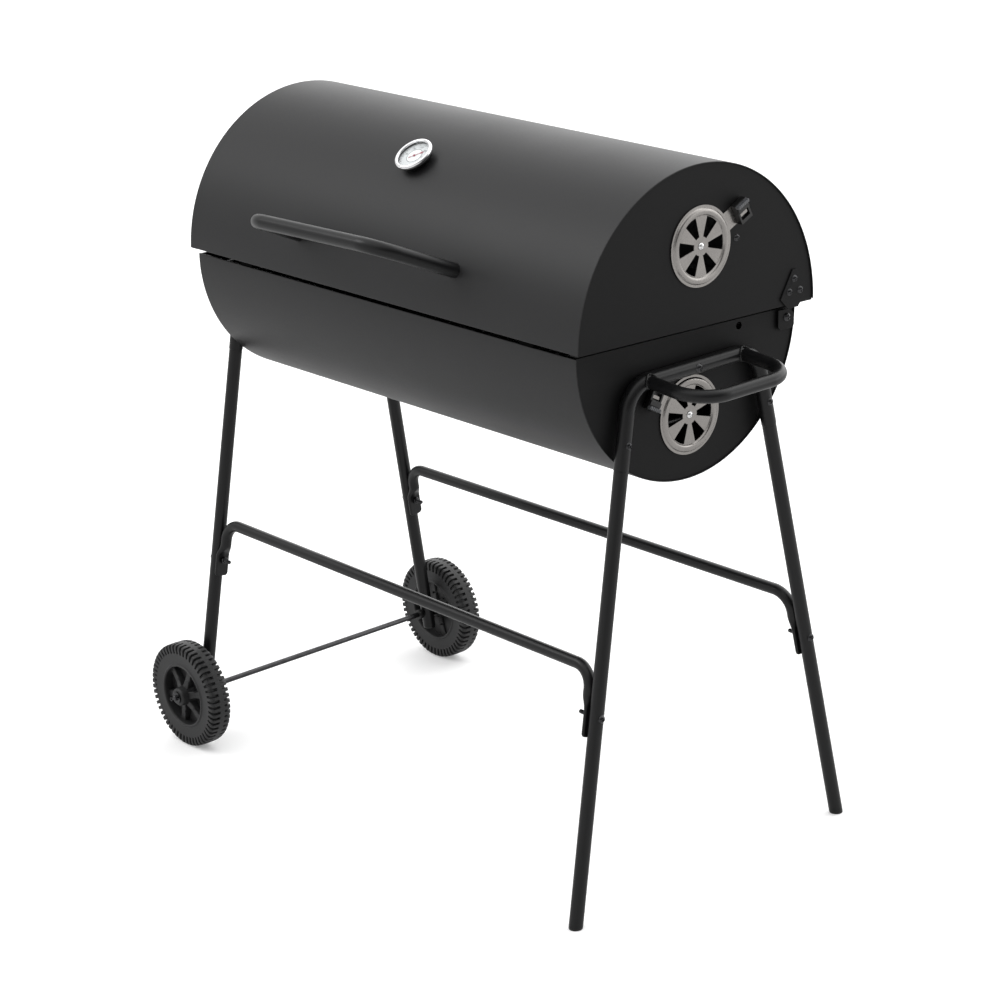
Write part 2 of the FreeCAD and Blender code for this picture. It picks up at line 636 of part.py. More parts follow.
def carry_handle():
    """U-shaped tube whose two arms are welded to the right-hand frame tube."""
    droop = math.radians(CARRY_DROOP)
    along = Vector(math.cos(droop), 0, -math.sin(droop))
    root = Vector(RIGHT["x"], 0, FRAME_Z)
    reach = (CARRY_X - RIGHT["x"]) / math.cos(droop)
    side = Y_DIR * CARRY_HALF
    points = [root - side, root - side + along * reach, root + side + along * reach,
              root + side]
    core = end_frame_core(RIGHT)
    tube = bent_tube(points, CARRY_BEND, CARRY_D).cut(core)
    beads = []
    for y in (-CARRY_HALF, CARRY_HALF):
        weld = root + Y_DIR * y + along * (FRAME_D / 2 + 0.4)
        bead = Part.makeTorus(CARRY_D / 2, 1.7, weld, along)
        beads.append(bead.cut(core).cut(bent_bar(points, CARRY_BEND, CARRY_D / 2)))
    return tube, group(beads)


def end_frame_core(frame):
    points = [leg_point(frame, -1, LEG_SEAM), leg_point(frame, -1, 0),
              leg_point(frame, 1, 0), leg_point(frame, 1, LEG_SEAM)]
    return frame_place(frame, bent_bar(points, FRAME_BEND, FRAME_D / 2))


def frame_parts():
    bolts = []
    screws = []
    feet = []
    caps = []
    for frame in (RIGHT, LEFT):
        add("end_frame_" + frame["name"], end_frame(frame))
        end_z = 2.5 if frame is RIGHT else LEFT_LEG_END_Z
        for place, y_side in (("front", -1), ("rear", 1)):
            add("leg_" + place + "_" + frame["name"], leg(frame, y_side, end_z))
            cap_list = feet if frame is RIGHT else caps
            cap_list.append(end_cap(frame, y_side, end_z))
            out = X_DIR * frame["side"]
            seat = leg_point(frame, y_side, LEG_SEAM - LEG_SCREW_UP) + out * (FRAME_D / 2)
            screw = dome_screw(seat, out, 5.2, 3.0, 2.4, 13)
            screws.append(frame_place(frame, screw))
        seat = Vector(frame["x"], 0, FRAME_Z) + out * (FRAME_D / 2)
        bolts.append(dome_screw(seat, out, 6.0, 3.6, 3.0, 32))
        plate_x = BOWL_PLATE_X[1] if frame is RIGHT else BOWL_PLATE_X[0]
        nut_seat = Vector(plate_x - frame["side"] * (SHEET + 0.2), 0, FRAME_Z)
        bolts.append(hex_nut(nut_seat, out * -1, 10, 5, 3.0))
    tube, beads = carry_handle()
    add("carry_handle", tube)
    add("carry_handle_welds", beads)
    add("frame_bolts", group(bolts))
    add("leg_screws", group(screws))
    add("foot_caps", group(feet))
    add("wheel_leg_caps", group(caps))


# ---- stretchers ---------------------------------------------------------------------
def stadium(centre, across, through, length, thickness):
    """Closed outline: a slot shape, long one way and thin the other."""
    half = (length - thickness) / 2
    r = thickness / 2
    a = centre + across * half + through * r
    b = centre - across * half + through * r
    c = centre - across * half - through * r
    d = centre + across * half - through * r
    end_left = Part.Arc(b, centre - across * (half + r), c).toShape()
    end_right = Part.Arc(d, centre + across * (half + r), a).toShape()
    return Part.Wire([line(a, b), end_left, line(c, d), end_right])


def round_outline(centre, across, through, radius):
    """A circle split like the stadium outline, so that the two can be lofted."""
    corner = math.radians(35)
    near = across * (radius * math.cos(corner))
    high = through * (radius * math.sin(corner))
    a, b = centre + near + high, centre - near + high
    c, d = centre - near - high, centre + near - high
    arcs = [Part.Arc(a, centre + through * radius, b), Part.Arc(b, centre - across * radius, c),
            Part.Arc(c, centre - through * radius, d), Part.Arc(d, centre + across * radius, a)]
    return Part.Wire([arc.toShape() for arc in arcs])


def stretcher_end(frame, y_side):
    """Key points of a stretcher's end: bend corner, start of the flat, bolt and tip."""
    inward = -frame["side"]
    bolt = leg_world(frame, y_side, frame["bolt_z"])
    top = leg_world(frame, y_side, STRETCHER_Z)
    leg_run = (top - bolt).normalize()
    flat_offset = X_DIR * inward * (LEG_D / 2 + FLAT_T / 2 + 0.1)
    round_offset = X_DIR * inward * (LEG_D / 2 + STRETCHER_D / 2 + 0.1)
    flat_top = leg_world(frame, y_side, STRETCHER_FLAT_Z) + flat_offset
    round_end = leg_world(frame, y_side, STRETCHER_ROUND_Z) + round_offset
    corner = top + round_offset
    tip = leg_world(frame, y_side, frame["tip_z"]) + flat_offset
    return corner, round_end, flat_top, tip, leg_run


def stretcher(y_side):
    right = stretcher_end(RIGHT, y_side)
    left = stretcher_end(LEFT, y_side)
    pieces = [bent_bar([right[1], right[0], left[0], left[1]], STRETCHER_BEND,
                       STRETCHER_D / 2)]
    for frame, (corner, round_end, flat_top, tip, run) in ((RIGHT, right), (LEFT, left)):
        across = X_DIR.cross(run).normalize()
        through = run.cross(across).normalize()
        circle = round_outline(round_end, across, through, STRETCHER_D / 2)
        slot = stadium(flat_top, across, through, FLAT_W, FLAT_T)
        pieces.append(Part.makeLoft([circle, slot], True))
        flat_end = Part.Face(stadium(flat_top, across, through, FLAT_W, FLAT_T))
        pieces.append(flat_end.extrude(tip - flat_top))
    bar = fuse(pieces)
    for frame in (RIGHT, LEFT):
        bolt = leg_world(frame, y_side, frame["bolt_z"])
        bar = bar.cut(rod(bolt - X_DIR * 25, bolt + X_DIR * 25, 3.2))
    return bar


def stretcher_parts():
    bolts = []
    nuts = []
    for name, y_side in (("front", -1), ("rear", 1)):
        add("stretcher_" + name, stretcher(y_side))
        for frame in (RIGHT, LEFT):
            out = X_DIR * frame["side"]
            centre = leg_world(frame, y_side, frame["bolt_z"])
            seat = centre + out * (LEG_D / 2 + 0.15)
            bolts.append(dome_screw(seat, out, 5.6, 3.6, 2.8, 40))
            nut_seat = centre - out * (LEG_D / 2 + FLAT_T + 0.3)
            nuts.append(hex_nut(nut_seat, out * -1, 10, 4.8, 2.8))
    add("stretcher_bolts", group(bolts))
    add("stretcher_nuts", group(nuts))


# ---- wheels and axle ----------------------------------------------------------------
def axle_place():
    return leg_world(LEFT, 1, WHEEL_R)


def wheel(y_side):
    """Moulded wheel: treaded rim, dished web with six spokes, and a long hub."""
    inner, outer = WHEEL_Y
    core = WHEEL_R - TREAD_DEPTH
    middle = (inner + outer) / 2
    bore = RIM_BORE_R
    profile = [(bore + 3, inner + 3), (bore + 6, inner), (core - 4, inner), (core, inner + 4),
               (core, outer - 4), (core - 4, outer), (bore + 6, outer), (bore + 3, outer - 3),
               (bore, middle + 4), (bore, middle - 4)]
    hub = [(AXLE_D / 2 + RUNNING, HUB_Y[0]), (14, HUB_Y[0]), (15, middle - 4),
           (15, outer - 8), (12.5, HUB_Y[1] - 2), (11, HUB_Y[1]),
           (AXLE_D / 2 + RUNNING, HUB_Y[1])]
    pieces = []
    for outline in (profile, hub):
        corners = [Vector(r, y, 0) for r, y in outline]
        face = Part.Face(Part.makePolygon(corners + corners[:1]))
        pieces.append(face.revolve(Vector(), Y_DIR, 360))
    web = ring(Vector(0, middle - 3, 0), Vector(0, middle + 1, 0), bore + 1.5, 14)
    pieces.append(web)
    for k in range(6):
        spoke = box(Vector(13, middle + 0.5, -5.5), Vector(bore + 3, outer - 6, 5.5))
        pieces.append(turned(spoke, Vector(), Y_DIR, 60 * k))
    for row, phase in ((inner + 3.5, 0.0), (middle + 1.5, 0.5)):
        for k in range(LUGS):
            lug = box(Vector(core - 1, row, -5.2), Vector(WHEEL_R, row + 13, 5.2))
            pieces.append(turned(lug, Vector(), Y_DIR, 360.0 / LUGS * (k + phase)))
    rib = ring(Vector(0, middle - 2, 0), Vector(0, middle + 2, 0), WHEEL_R, core - 1)
    pieces.append(rib)
    solid = fuse(pieces)
    if y_side < 0:
        solid = solid.mirror(Vector(), Y_DIR)
    centre = axle_place()
    return moved(solid, Vector(centre.x, 0, centre.z))


def axle_parts():
    centre = axle_place()
    add("wheel_rear", wheel(1))
    add("wheel_front", wheel(-1))

    def at(y):
        return Vector(centre.x, y, centre.z)

    shaft = rod(at(-AXLE_END), at(AXLE_END), AXLE_D / 2)
    pins = []
    washers = []
    collars = []
    for side in (-1, 1):
        pin_y = side * (HUB_Y[1] + 3.6)
        shaft = shaft.cut(rod(at(pin_y) - Z_DIR * 9, at(pin_y) + Z_DIR * 9, 1.3))
        pins.append(rod(at(pin_y) - Z_DIR * 9, at(pin_y) + Z_DIR * 9, 1.25))
        washers.append(ring(at(side * (HUB_Y[1] + GAP)), at(side * (HUB_Y[1] + 2.0)), 9, 4))
        washers.append(ring(at(side * 228.0), at(side * (HUB_Y[0] - GAP)), 8.5, 4))
        collars.append(ring(at(side * (centre.y - 20)), at(side * (centre.y - 12)), 7.5, 4))
    add("axle_rod", shaft)
    add("axle_pins", group(pins))
    add("axle_washers", group(washers))
    add("axle_collars", group(collars))


# ---- grates and their supports ------------------------------------------------------
def half_width(z):
    """Free half width inside the bowl at a height, in the level barrel."""
    return math.sqrt((BOWL_R - 2 * SHEET) ** 2 - (z - BOWL_AXIS_Z) ** 2)


def grate(x0, x1, z, half, spacing):
    """Welded wire grate: a round-wire frame with bars across it."""
    lower = z + FRAME_WIRE / 2
    corners = [Vector(x0, -half, lower), Vector(x1, -half, lower),
               Vector(x1, half, lower), Vector(x0, half, lower)]
    wires = []
    for a, b in zip(corners, corners[1:] + corners[:1]):
        wires.append(rod(a, b, FRAME_WIRE / 2))
    wires.extend(Part.makeSphere(FRAME_WIRE / 2, corner) for corner in corners)
    count = int((x1 - x0) / spacing)
    step = (x1 - x0) / count
    top = lower + FRAME_WIRE / 2 + WIRE / 2 - 1.0
    for k in range(1, count):
        x = x0 + step * k
        wires.append(rod(Vector(x, -half - 2, top), Vector(x, half + 2, top), WIRE / 2))
    for y in (-half * 0.45, half * 0.45):
        wires.append(rod(Vector(x0 + 1, y, lower), Vector(x1 - 1, y, lower), WIRE / 2 + 0.6))
    return fuse(wires)


def ledge(x, z, half, side):
    """Angle bracket welded to the bowl wall, carrying a grate."""
    wall = half_width(z) + SHEET
    shelf = box(Vector(x - 14, half - 12, z - 2.2), Vector(x + 14, wall + 20, z - 0.2))
    leg_down = box(Vector(x - 14, wall - 7, z - 16), Vector(x + 14, wall + 20, z - 0.2))
    piece = fuse([shelf, leg_down])
    core = Part.makeCylinder(BOWL_R - SHEET, 60, Vector(x - 30, 0, BOWL_AXIS_Z), X_DIR)
    piece = piece.common(core)
    return piece if side > 0 else piece.mirror(Vector(), Y_DIR)


def grate_parts():
    inner_left = BOWL_X[0] + FLANGE + 8
    inner_right = BOWL_X[1] - FLANGE - 8
    middle = (inner_left + inner_right) / 2
    cook_half = half_width(COOK_Z) - 6
    add("cooking_grate_left", barrel(grate(inner_left, middle - 4, COOK_Z, cook_half, 15.5)))
    add("cooking_grate_right", barrel(grate(middle + 4, inner_right, COOK_Z, cook_half, 15.5)))
    coal_half = half_width(COAL_Z) - 16
    coal_x = (inner_left + 10, inner_right - 10)
    add("charcoal_grate", barrel(grate(coal_x[0], coal_x[1], COAL_Z, coal_half, 24.0)))
    cook_ledges = []
    coal_ledges = []
    for side in (-1, 1):
        for x in (inner_left + 40, middle - 44, middle + 44, inner_right - 40):
            cook_ledges.append(ledge(x, COOK_Z, cook_half, side))
        for x in (coal_x[0] + 60, coal_x[1] - 60):
            coal_ledges.append(ledge(x, COAL_Z, coal_half, side))
    add("cooking_grate_ledges", barrel(group(cook_ledges)))
    add("charcoal_grate_ledges", barrel(group(coal_ledges)))


def main():
    lid_parts()
    bowl_parts()
    lid_rest_parts()
    hinge_parts()
    vent_parts()
    lid_handle_parts()
    thermometer_parts()
    frame_parts()
    stretcher_parts()
    axle_parts()
    grate_parts()
    os.makedirs("parts", exist_ok=True)
    for name, shape in PARTS.items():
        placed = moved(shape, Vector(CENTRE[0], CENTRE[1], 0))
        placed.exportStep("parts/" + name + ".step")
        bounds = placed.BoundBox
        print(name, len(placed.Solids), "valid" if placed.isValid() else "INVALID",
              round(placed.Volume), [round(v, 1) for v in (bounds.XMin, bounds.XMax, bounds.YMin,
                                                          bounds.YMax, bounds.ZMin, bounds.ZMax)])


main()
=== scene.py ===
import json
from math import acos, asin, copysign, cos, degrees, pi, radians, sin, sqrt, tan

import bmesh
import bpy
from mathutils import Matrix, Quaternion, Vector

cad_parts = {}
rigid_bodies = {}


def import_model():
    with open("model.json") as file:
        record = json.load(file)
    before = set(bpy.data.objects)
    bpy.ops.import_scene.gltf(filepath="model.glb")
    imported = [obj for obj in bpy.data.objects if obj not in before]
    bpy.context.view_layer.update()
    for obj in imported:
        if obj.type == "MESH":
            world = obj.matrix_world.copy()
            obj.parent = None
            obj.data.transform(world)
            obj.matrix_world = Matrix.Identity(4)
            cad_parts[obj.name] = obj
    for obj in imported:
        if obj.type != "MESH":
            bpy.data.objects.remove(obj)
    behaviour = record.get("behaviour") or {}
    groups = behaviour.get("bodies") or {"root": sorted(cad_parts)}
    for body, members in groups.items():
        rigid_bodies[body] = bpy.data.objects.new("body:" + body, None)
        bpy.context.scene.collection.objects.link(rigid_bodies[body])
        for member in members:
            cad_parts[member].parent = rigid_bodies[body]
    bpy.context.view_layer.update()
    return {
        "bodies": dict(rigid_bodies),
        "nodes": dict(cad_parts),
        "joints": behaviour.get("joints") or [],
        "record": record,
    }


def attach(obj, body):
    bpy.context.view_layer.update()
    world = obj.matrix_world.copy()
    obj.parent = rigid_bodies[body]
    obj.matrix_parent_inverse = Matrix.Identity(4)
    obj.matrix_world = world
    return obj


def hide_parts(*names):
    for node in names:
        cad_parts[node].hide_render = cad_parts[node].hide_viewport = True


# Looks of the barrel charcoal grill.  Shapes are built in millimetres, in the CAD model's
# own frame, and every mesh is scaled to metres as it is placed.

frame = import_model()
record = frame["record"]
NODE_BODY = {node: body for body, nodes in record["behaviour"]["bodies"].items()
             for node in nodes}
NODE_SLOT = {part["node"]: part["material_slot"] for part in record["subparts"]}

# ---- sizes, in millimetres and degrees
AXIS_Z = 750.0
BARREL_TILT = 1.56
SHEET = 1.2
GAP = 0.4
CENTRE = (5.5, 18.8)
LID_R = 210.0
LID_X = {-1: -400.0, 1: 400.0}      # left and right end
LID_EDGE_Z = 750.8
BOWL_R = 195.4
BOWL_AXIS_Z = 740.4
BOWL_X = {-1: -401.3, 1: 381.0}
FLANGE = 13.0
RECESS = 2.0
HEM = 9.0
REAR_LIP = 17.0             # upright lip along the bowl's back, inside the lid
LIP_FACES = (1.6, 0.4)      # its two faces, inwards from the bowl's outside
LIP_SHORT = 4.0             # and how far it ends before the end plates' flanges
END_OVERRUN = 0.3           # the lid's right end plate goes on past the half circle, degrees
ROUND_HOLE = (93.0, 731.0)
ROUND_HOLE_R = 5.0
PIVOT_HOLE_R = 2.6

HINGE = (178.0, 728.0)
HINGE_SCREWS = ((173.5, 783.0), (164.5, 766.6), (184.4, 766.7))
BRACKET_T = 2.0

VENT_R = 52.5
VENT_T = 1.2
VENT_BEAD = (39.5, 42.0, 46.5, 49.0)   # radii where the pressed bead starts, tops and ends
VENT_LIFT = 2.4
LID_VENT = (1.5, 854.0)
BOWL_VENT = (3.6, 630.0)
SLOT_R = (12.5, 38.7)
SLOT_HALF = 15.0
TAB_REACH = 76.0
TAB_W = 26.0
KNOB_R = (66.0, 87.0)
KNOB_HALF = 14.5
LID_TAB_ANGLE = 28.0
BOWL_TAB_ANGLE = 153.0
STOP_R = 65.5
STOP_BEHIND = 28.0

HANDLE_D = 20.0
HANDLE_HALF = 159.4
HANDLE_FOOT = 17.1
HANDLE_AIM = 22.1
HANDLE_OUT = 111.0
HANDLE_LEAN = 15.0
HANDLE_BEND = 43.0
HANDLE_OFF_LEVEL = 1.1

GAUGE_X = -3.0
GAUGE_ANGLE = 54.5
GAUGE_R = 27.5
GAUGE_FACE = 15.0
GAUGE_CUP_R = 24.5
NEEDLE_ANGLE = 40.0

FRAME_D = 20.0
LEG_D = 19.0
WALL = 1.2
FRAME_Z = 696.0
FRAME_BEND = 40.0
LEG_SEAM = 108.0
LEG_SCREW_UP = 33.0
RIGHT = {"name": "right", "side": 1, "x": 389.0, "corner": 113.2, "splay": 10.9, "lean": 1.95,
         "bolt_z": 276.0, "tip_z": 248.0, "foot_z": 2.5}
LEFT = {"name": "left", "side": -1, "x": -409.3, "corner": 116.8, "splay": 9.1, "lean": 1.7,
        "bolt_z": 278.0, "tip_z": 254.5, "foot_z": 54.0}
CAP_LIP = 2.5

CARRY_D = 17.5
CARRY_X = 486.4
CARRY_HALF = 83.7
CARRY_BEND = 46.0
CARRY_DROOP = 4.2

STRETCHER_D = 16.0
STRETCHER_Z = 335.0
STRETCHER_BEND = 28.0
STRETCHER_ROUND_Z = 302.0   # here the tube is still round
STRETCHER_FLAT_Z = 284.0    # and here it is already flat
FLAT_T = 5.0
FLAT_W = 22.3

WHEEL_R = 78.5
WHEEL_Y = (226.0, 260.0)
HUB_Y = (231.4, 268.0)
AXLE_D = 8.0
AXLE_END = 274.0
LUGS = 54


# ---- places
def shift(x, y, z):
    return Matrix.Translation((x, y, z))


def turn(degrees, axis):
    return Matrix.Rotation(radians(degrees), 4, axis)


STAND = Matrix.Scale(0.001, 4) @ shift(CENTRE[0], CENTRE[1], 0)
BARREL = STAND @ shift(0, 0, AXIS_Z) @ turn(-BARREL_TILT, "X") @ shift(0, 0, -AXIS_Z)
HERE = Matrix.Identity(4)
# A flat piece drawn as (y, z) and facing +X.
FACING_X = Matrix(((0, 0, 1, 0), (1, 0, 0, 0), (0, 1, 0, 0), (0, 0, 0, 1)))


def frame_lean(end):
    """From the upright end frame, drawn in the plane X = 0, to its place and lean."""
    lean = turn(-end["side"] * end["lean"], "Y")
    return shift(end["x"], 0, FRAME_Z) @ lean @ shift(0, 0, -FRAME_Z)


def aim(point, direction):
    """Turns +Z to a direction and moves the origin to a point."""
    turned = Vector(direction).to_track_quat("Z", "Y").to_matrix().to_4x4()
    return Matrix.Translation(point) @ turned


# ---- mesh building
def to_mesh(bm, name):
    mesh = bpy.data.meshes.new(name)
    bm.to_mesh(mesh)
    bm.free()
    return mesh


def finished(bm):
    bmesh.ops.remove_doubles(bm, verts=bm.verts, dist=1e-3)
    bmesh.ops.recalc_face_normals(bm, faces=bm.faces)
    return to_mesh(bm, "part")


def placed(name, data):
    made = bpy.data.objects.new(name, data)
    bpy.context.scene.collection.objects.link(made)
    return made


def spun(radius, angle, height):
    """A point at an angle about Z, in radians."""
    return Vector((radius * cos(angle), radius * sin(angle), height))


def soften(points, radius, steps=3):
    """A closed outline with its corners rounded off; corners on the axis stay."""
    out = []
    for k, corner in enumerate(points):
        here = Vector(corner)
        back = Vector(points[k - 1]) - here
        on = Vector(points[(k + 1) % len(points)]) - here
        if abs(here[0]) < 1e-6 or back.angle(on) > radians(170):
            out.append(here)
            continue
        reach = min(radius, 0.45 * back.length, 0.45 * on.length)
        start = here + back.normalized() * reach
        end = here + on.normalized() * reach
        for step in range(steps + 1):
            t = step / steps
            out.append(start.lerp(here, t).lerp(here.lerp(end, t), t))
    return out


def skin(loops, wrap=False):
    """A surface over closed loops of equal count, capped at its ends unless it wraps."""
    bm = bmesh.new()
    rings = [[bm.verts.new(point) for point in loop] for loop in loops]
    pairs = list(zip(rings, rings[1:]))
    if wrap:
        pairs.append((rings[-1], rings[0]))
    for low, high in pairs:
        for k in range(len(low)):
            bm.faces.new((low[k - 1], low[k], high[k], high[k - 1]))
    if not wrap:
        bm.faces.new(rings[0])
        bm.faces.new(rings[-1])
    return finished(bm)


def revolved(profile, steps=96, rounding=0.3, ribs=0, rib_depth=0.0, rib_from=0.0):
    """Turns a closed (radius, height) outline about Z, with ribs cut into its wide part."""
    outline = soften(profile, rounding) if rounding else profile
    loops = []
    for k in range(steps):
        angle = 2 * pi * k / steps
        dip = rib_depth * (0.5 + 0.5 * cos(angle * ribs))
        loops.append([spun(radius - (dip if radius > rib_from else 0.0), angle, height)
                      for radius, height in outline])
    return skin(loops, wrap=True)


def bent(points, radius, step=5.0):
    """Straight runs joined by arcs, as points along the line."""
    path = [points[0]]
    for before, corner, after in zip(points, points[1:], points[2:]):
        to_start = (before - corner).normalized()
        to_end = (after - corner).normalized()
        half = to_start.angle(to_end) / 2
        centre = corner + (to_start + to_end).normalized() * (radius / sin(half))
        arm = corner + to_start * (radius / tan(half)) - centre
        last = corner + to_end * (radius / tan(half)) - centre
        axis = arm.cross(last).normalized()
        sweep = pi - 2 * half
        count = max(2, round(degrees(sweep) / step))
        for k in range(count + 1):
            path.append(centre + Quaternion(axis, sweep * k / count) @ arm)
    path.append(points[-1])
    return path


def path_frames(path, closed=False):
    """Two side directions at every point of a line, carried along without twist."""
    count = len(path)
    runs = [(path[(k + 1) % count] - path[k]).normalized() for k in range(count)]
    if not closed:
        runs[-1] = runs[-2]
    tangents = [runs[0] if k == 0 and not closed else (runs[k - 1] + runs[k]).normalized()
                for k in range(count)]
    side = tangents[0].orthogonal().normalized()
    frames = []
    for k, tangent in enumerate(tangents):
        if k:
            side = tangents[k - 1].rotation_difference(tangent) @ side
        side = (side - tangent * side.dot(tangent)).normalized()
        frames.append((tangent, side, tangent.cross(side)))
    return frames


def ring(centre, side, up, radius, count=32):
    angles = [2 * pi * k / count for k in range(count)]
    return [centre + side * (radius * cos(a)) + up * (radius * sin(a)) for a in angles]


def tube(path, outer, bore=0.0, edge=0.35, count=32):
    """A bar or tube along a line, with its end edges rounded."""
    stations = [(point, frame, 0) for point, frame in zip(path, path_frames(path))]
    first, last = stations[0], stations[-1]
    stations[:1] = [(*first[:2], 1), (first[0] + first[1][0] * edge, first[1], 0)]
    stations[-1:] = [(last[0] - last[1][0] * edge, last[1], 0), (*last[:2], 1)]

    def wall(radius, inset):
        return [ring(point, side, up, radius - inset * at_end, count)
                for point, (_, side, up), at_end in stations]

    if not bore:
        return skin(wall(outer, edge))
    return skin(wall(outer, edge) + wall(bore, -edge)[::-1], wrap=True)


def flat(outlines, thickness, edge=0.3):
    """Sheet cut to an outline with holes, its edges rounded; drawn in XY, centred on Z."""
    curve = bpy.data.curves.new("outline", "CURVE")
    curve.dimensions = "2D"
    curve.fill_mode = "BOTH"
    curve.extrude = thickness / 2 - edge
    curve.bevel_depth = edge
    curve.bevel_resolution = 1
    curve.offset = -edge
    for outline in outlines:
        spline = curve.splines.new("POLY")
        spline.points.add(len(outline) - 1)
        for point, place in zip(spline.points, outline):
            point.co = (place[0], place[1], 0, 1)
        spline.use_cyclic_u = True
    drawn = bpy.data.objects.new("outline", curve)
    bm = bmesh.new()
    bm.from_mesh(bpy.data.meshes.new_from_object(drawn))
    bpy.data.objects.remove(drawn)
    return finished(bm)


def block(low, high, radius, segments=3):
    """A box between two corners with every edge rounded."""
    low, high = Vector(low), Vector(high)
    bm = bmesh.new()
    bmesh.ops.create_cube(bm, size=1.0)
    size = Matrix.Diagonal((*(high - low), 1.0))
    bmesh.ops.transform(bm, matrix=Matrix.Translation((low + high) / 2) @ size, verts=bm.verts)
    bmesh.ops.bevel(bm, geom=bm.edges, offset=radius, segments=segments, profile=0.5,
                    affect="EDGES")
    return finished(bm)


def circle(centre, radius, count=32):
    return arc(centre, radius, 0, 360, count)[:-1]


def arc(centre, radius, start, end, count):
    angles = [radians(start + (end - start) * k / count) for k in range(count + 1)]
    return [(centre[0] + radius * cos(a), centre[1] + radius * sin(a)) for a in angles]


def assemble(parts):
    """Joins meshes, each alone or paired with the matrix that places it."""
    bm = bmesh.new()
    for part in parts:
        mesh, matrix = part if isinstance(part, tuple) else (part, HERE)
        start = len(bm.verts)
        bm.from_mesh(mesh)
        bm.verts.ensure_lookup_table()
        bmesh.ops.transform(bm, matrix=matrix, verts=bm.verts[start:])
    return bm


def carved(mesh, cutters):
    """Cuts shapes out of a mesh."""
    body = placed("carved", mesh)
    cutter = placed("cutter", finished(assemble(cutters)))
    cut = body.modifiers.new("cut", "BOOLEAN")
    cut.object = cutter
    cut.operation = "DIFFERENCE"
    cut.solver = "EXACT"
    graph = bpy.context.evaluated_depsgraph_get()
    result = bpy.data.meshes.new_from_object(body.evaluated_get(graph))
    bpy.data.objects.remove(body)
    bpy.data.objects.remove(cutter)
    return result


def smooth(mesh, degrees):
    """Smooth shading with sharp edges only where the surface really turns."""
    bm = bmesh.new()
    bm.from_mesh(mesh)
    limit = radians(degrees)
    for face in bm.faces:
        face.smooth = True
    for edge in bm.edges:
        edge.smooth = len(edge.link_faces) == 2 and edge.calc_face_angle(0.0) < limit
    bm.to_mesh(mesh)
    bm.free()


def round_edges(made, width, angle):
    rounding = made.modifiers.new("edges", "BEVEL")
    rounding.width = width * 0.001
    rounding.segments = 2
    rounding.limit_method = "ANGLE"
    rounding.angle_limit = radians(angle)


def piece(name, node, material, parts, place=STAND, bevel=0.0, stands_for=True, sharp=40.0):
    """One visible piece: it rides with its CAD node's body and stands for that node."""
    bm = assemble(parts)
    bmesh.ops.transform(bm, matrix=place, verts=bm.verts)
    mesh = to_mesh(bm, name)
    smooth(mesh, sharp)
    made = placed(name, mesh)
    mesh.materials.append(material)
    if bevel:
        round_edges(made, bevel, 40)
    weighting = made.modifiers.new("normals", "WEIGHTED_NORMAL")
    weighting.keep_sharp = True
    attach(made, NODE_BODY[node])
    if stands_for:
        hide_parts(node)


# ---- materials
def feed(tree, target, value):
    """Links an output to an input, or sets the input to a plain value."""
    if isinstance(value, bpy.types.NodeSocket):
        tree.links.new(value, target)
    else:
        target.default_value = value


def add(tree, kind, inputs=(), **settings):
    """A node with its settings and inputs; inputs are named or counted from 0."""
    node = tree.nodes.new("ShaderNode" + kind)
    for name, value in settings.items():
        setattr(node, name, value)
    for name, value in dict(inputs).items():
        feed(tree, node.inputs[name], value)
    return node


def new_material(name):
    material = bpy.data.materials.new(name)
    material.use_nodes = True
    return material, material.node_tree


def noise(tree, scale, stretch=(1, 1, 1), detail=3.0):
    """Noise in the object's own coordinates; scale is in features per metre."""
    place = add(tree, "TexCoord").outputs["Object"]
    mapping = add(tree, "Mapping", {"Vector": place, "Scale": stretch})
    return add(tree, "TexNoise", {"Vector": mapping.outputs["Vector"], "Scale": scale,
                                  "Detail": detail}).outputs["Fac"]


def ramp(tree, value, low, high, start=0.3, end=0.7, kind="LINEAR"):
    """Maps the range from start to end, at first the middle of a noise, to low and high."""
    return add(tree, "MapRange", {"Value": value, "From Min": start, "From Max": end,
                                  "To Min": low, "To Max": high},
               interpolation_type=kind).outputs["Result"]


def total(tree, one, other):
    return add(tree, "Math", {0: one, 1: other}, operation="ADD").outputs["Value"]


def two_shades(tree, one, other, factor):
    return add(tree, "Mix", {"A": (*one, 1), "B": (*other, 1), "Factor": factor},
               data_type="RGBA").outputs["Result"]


def surface(name, colour, roughness, metallic=0.0, specular=0.5, tone=0.12, patch=9.0,
            grain=900.0, depth=0.02, stretch=(1, 1, 1), uneven=0.05):
    """A finish with soft patches of tone and gloss and a fine relief of its own scale."""
    material, tree = new_material(name)
    patches = noise(tree, patch)
    fine = noise(tree, grain, stretch, 2.0)
    darker, lighter = ([c * (1 + change) for c in colour] for change in (-tone, tone))
    shade = two_shades(tree, darker, lighter, ramp(tree, patches, 0.0, 1.0))
    gloss = total(tree, ramp(tree, patches, -uneven / 2, uneven / 2),
                  ramp(tree, fine, roughness - uneven, roughness + uneven))
    relief = add(tree, "Bump", {"Strength": 1.0, "Distance": depth * 0.001, "Height": fine})
    shader = tree.nodes["Principled BSDF"]
    for name, value in (("Metallic", metallic), ("Specular IOR Level", specular),
                        ("Base Color", shade), ("Roughness", gloss),
                        ("Normal", relief.outputs["Normal"])):
        feed(tree, shader.inputs[name], value)
    return material


def paint(name, colour, roughness, specular, grain=850, depth=0.02, tone=0.1):
    return surface(name, colour, roughness, specular=specular, grain=grain, depth=depth,
                   tone=tone, uneven=0.03)


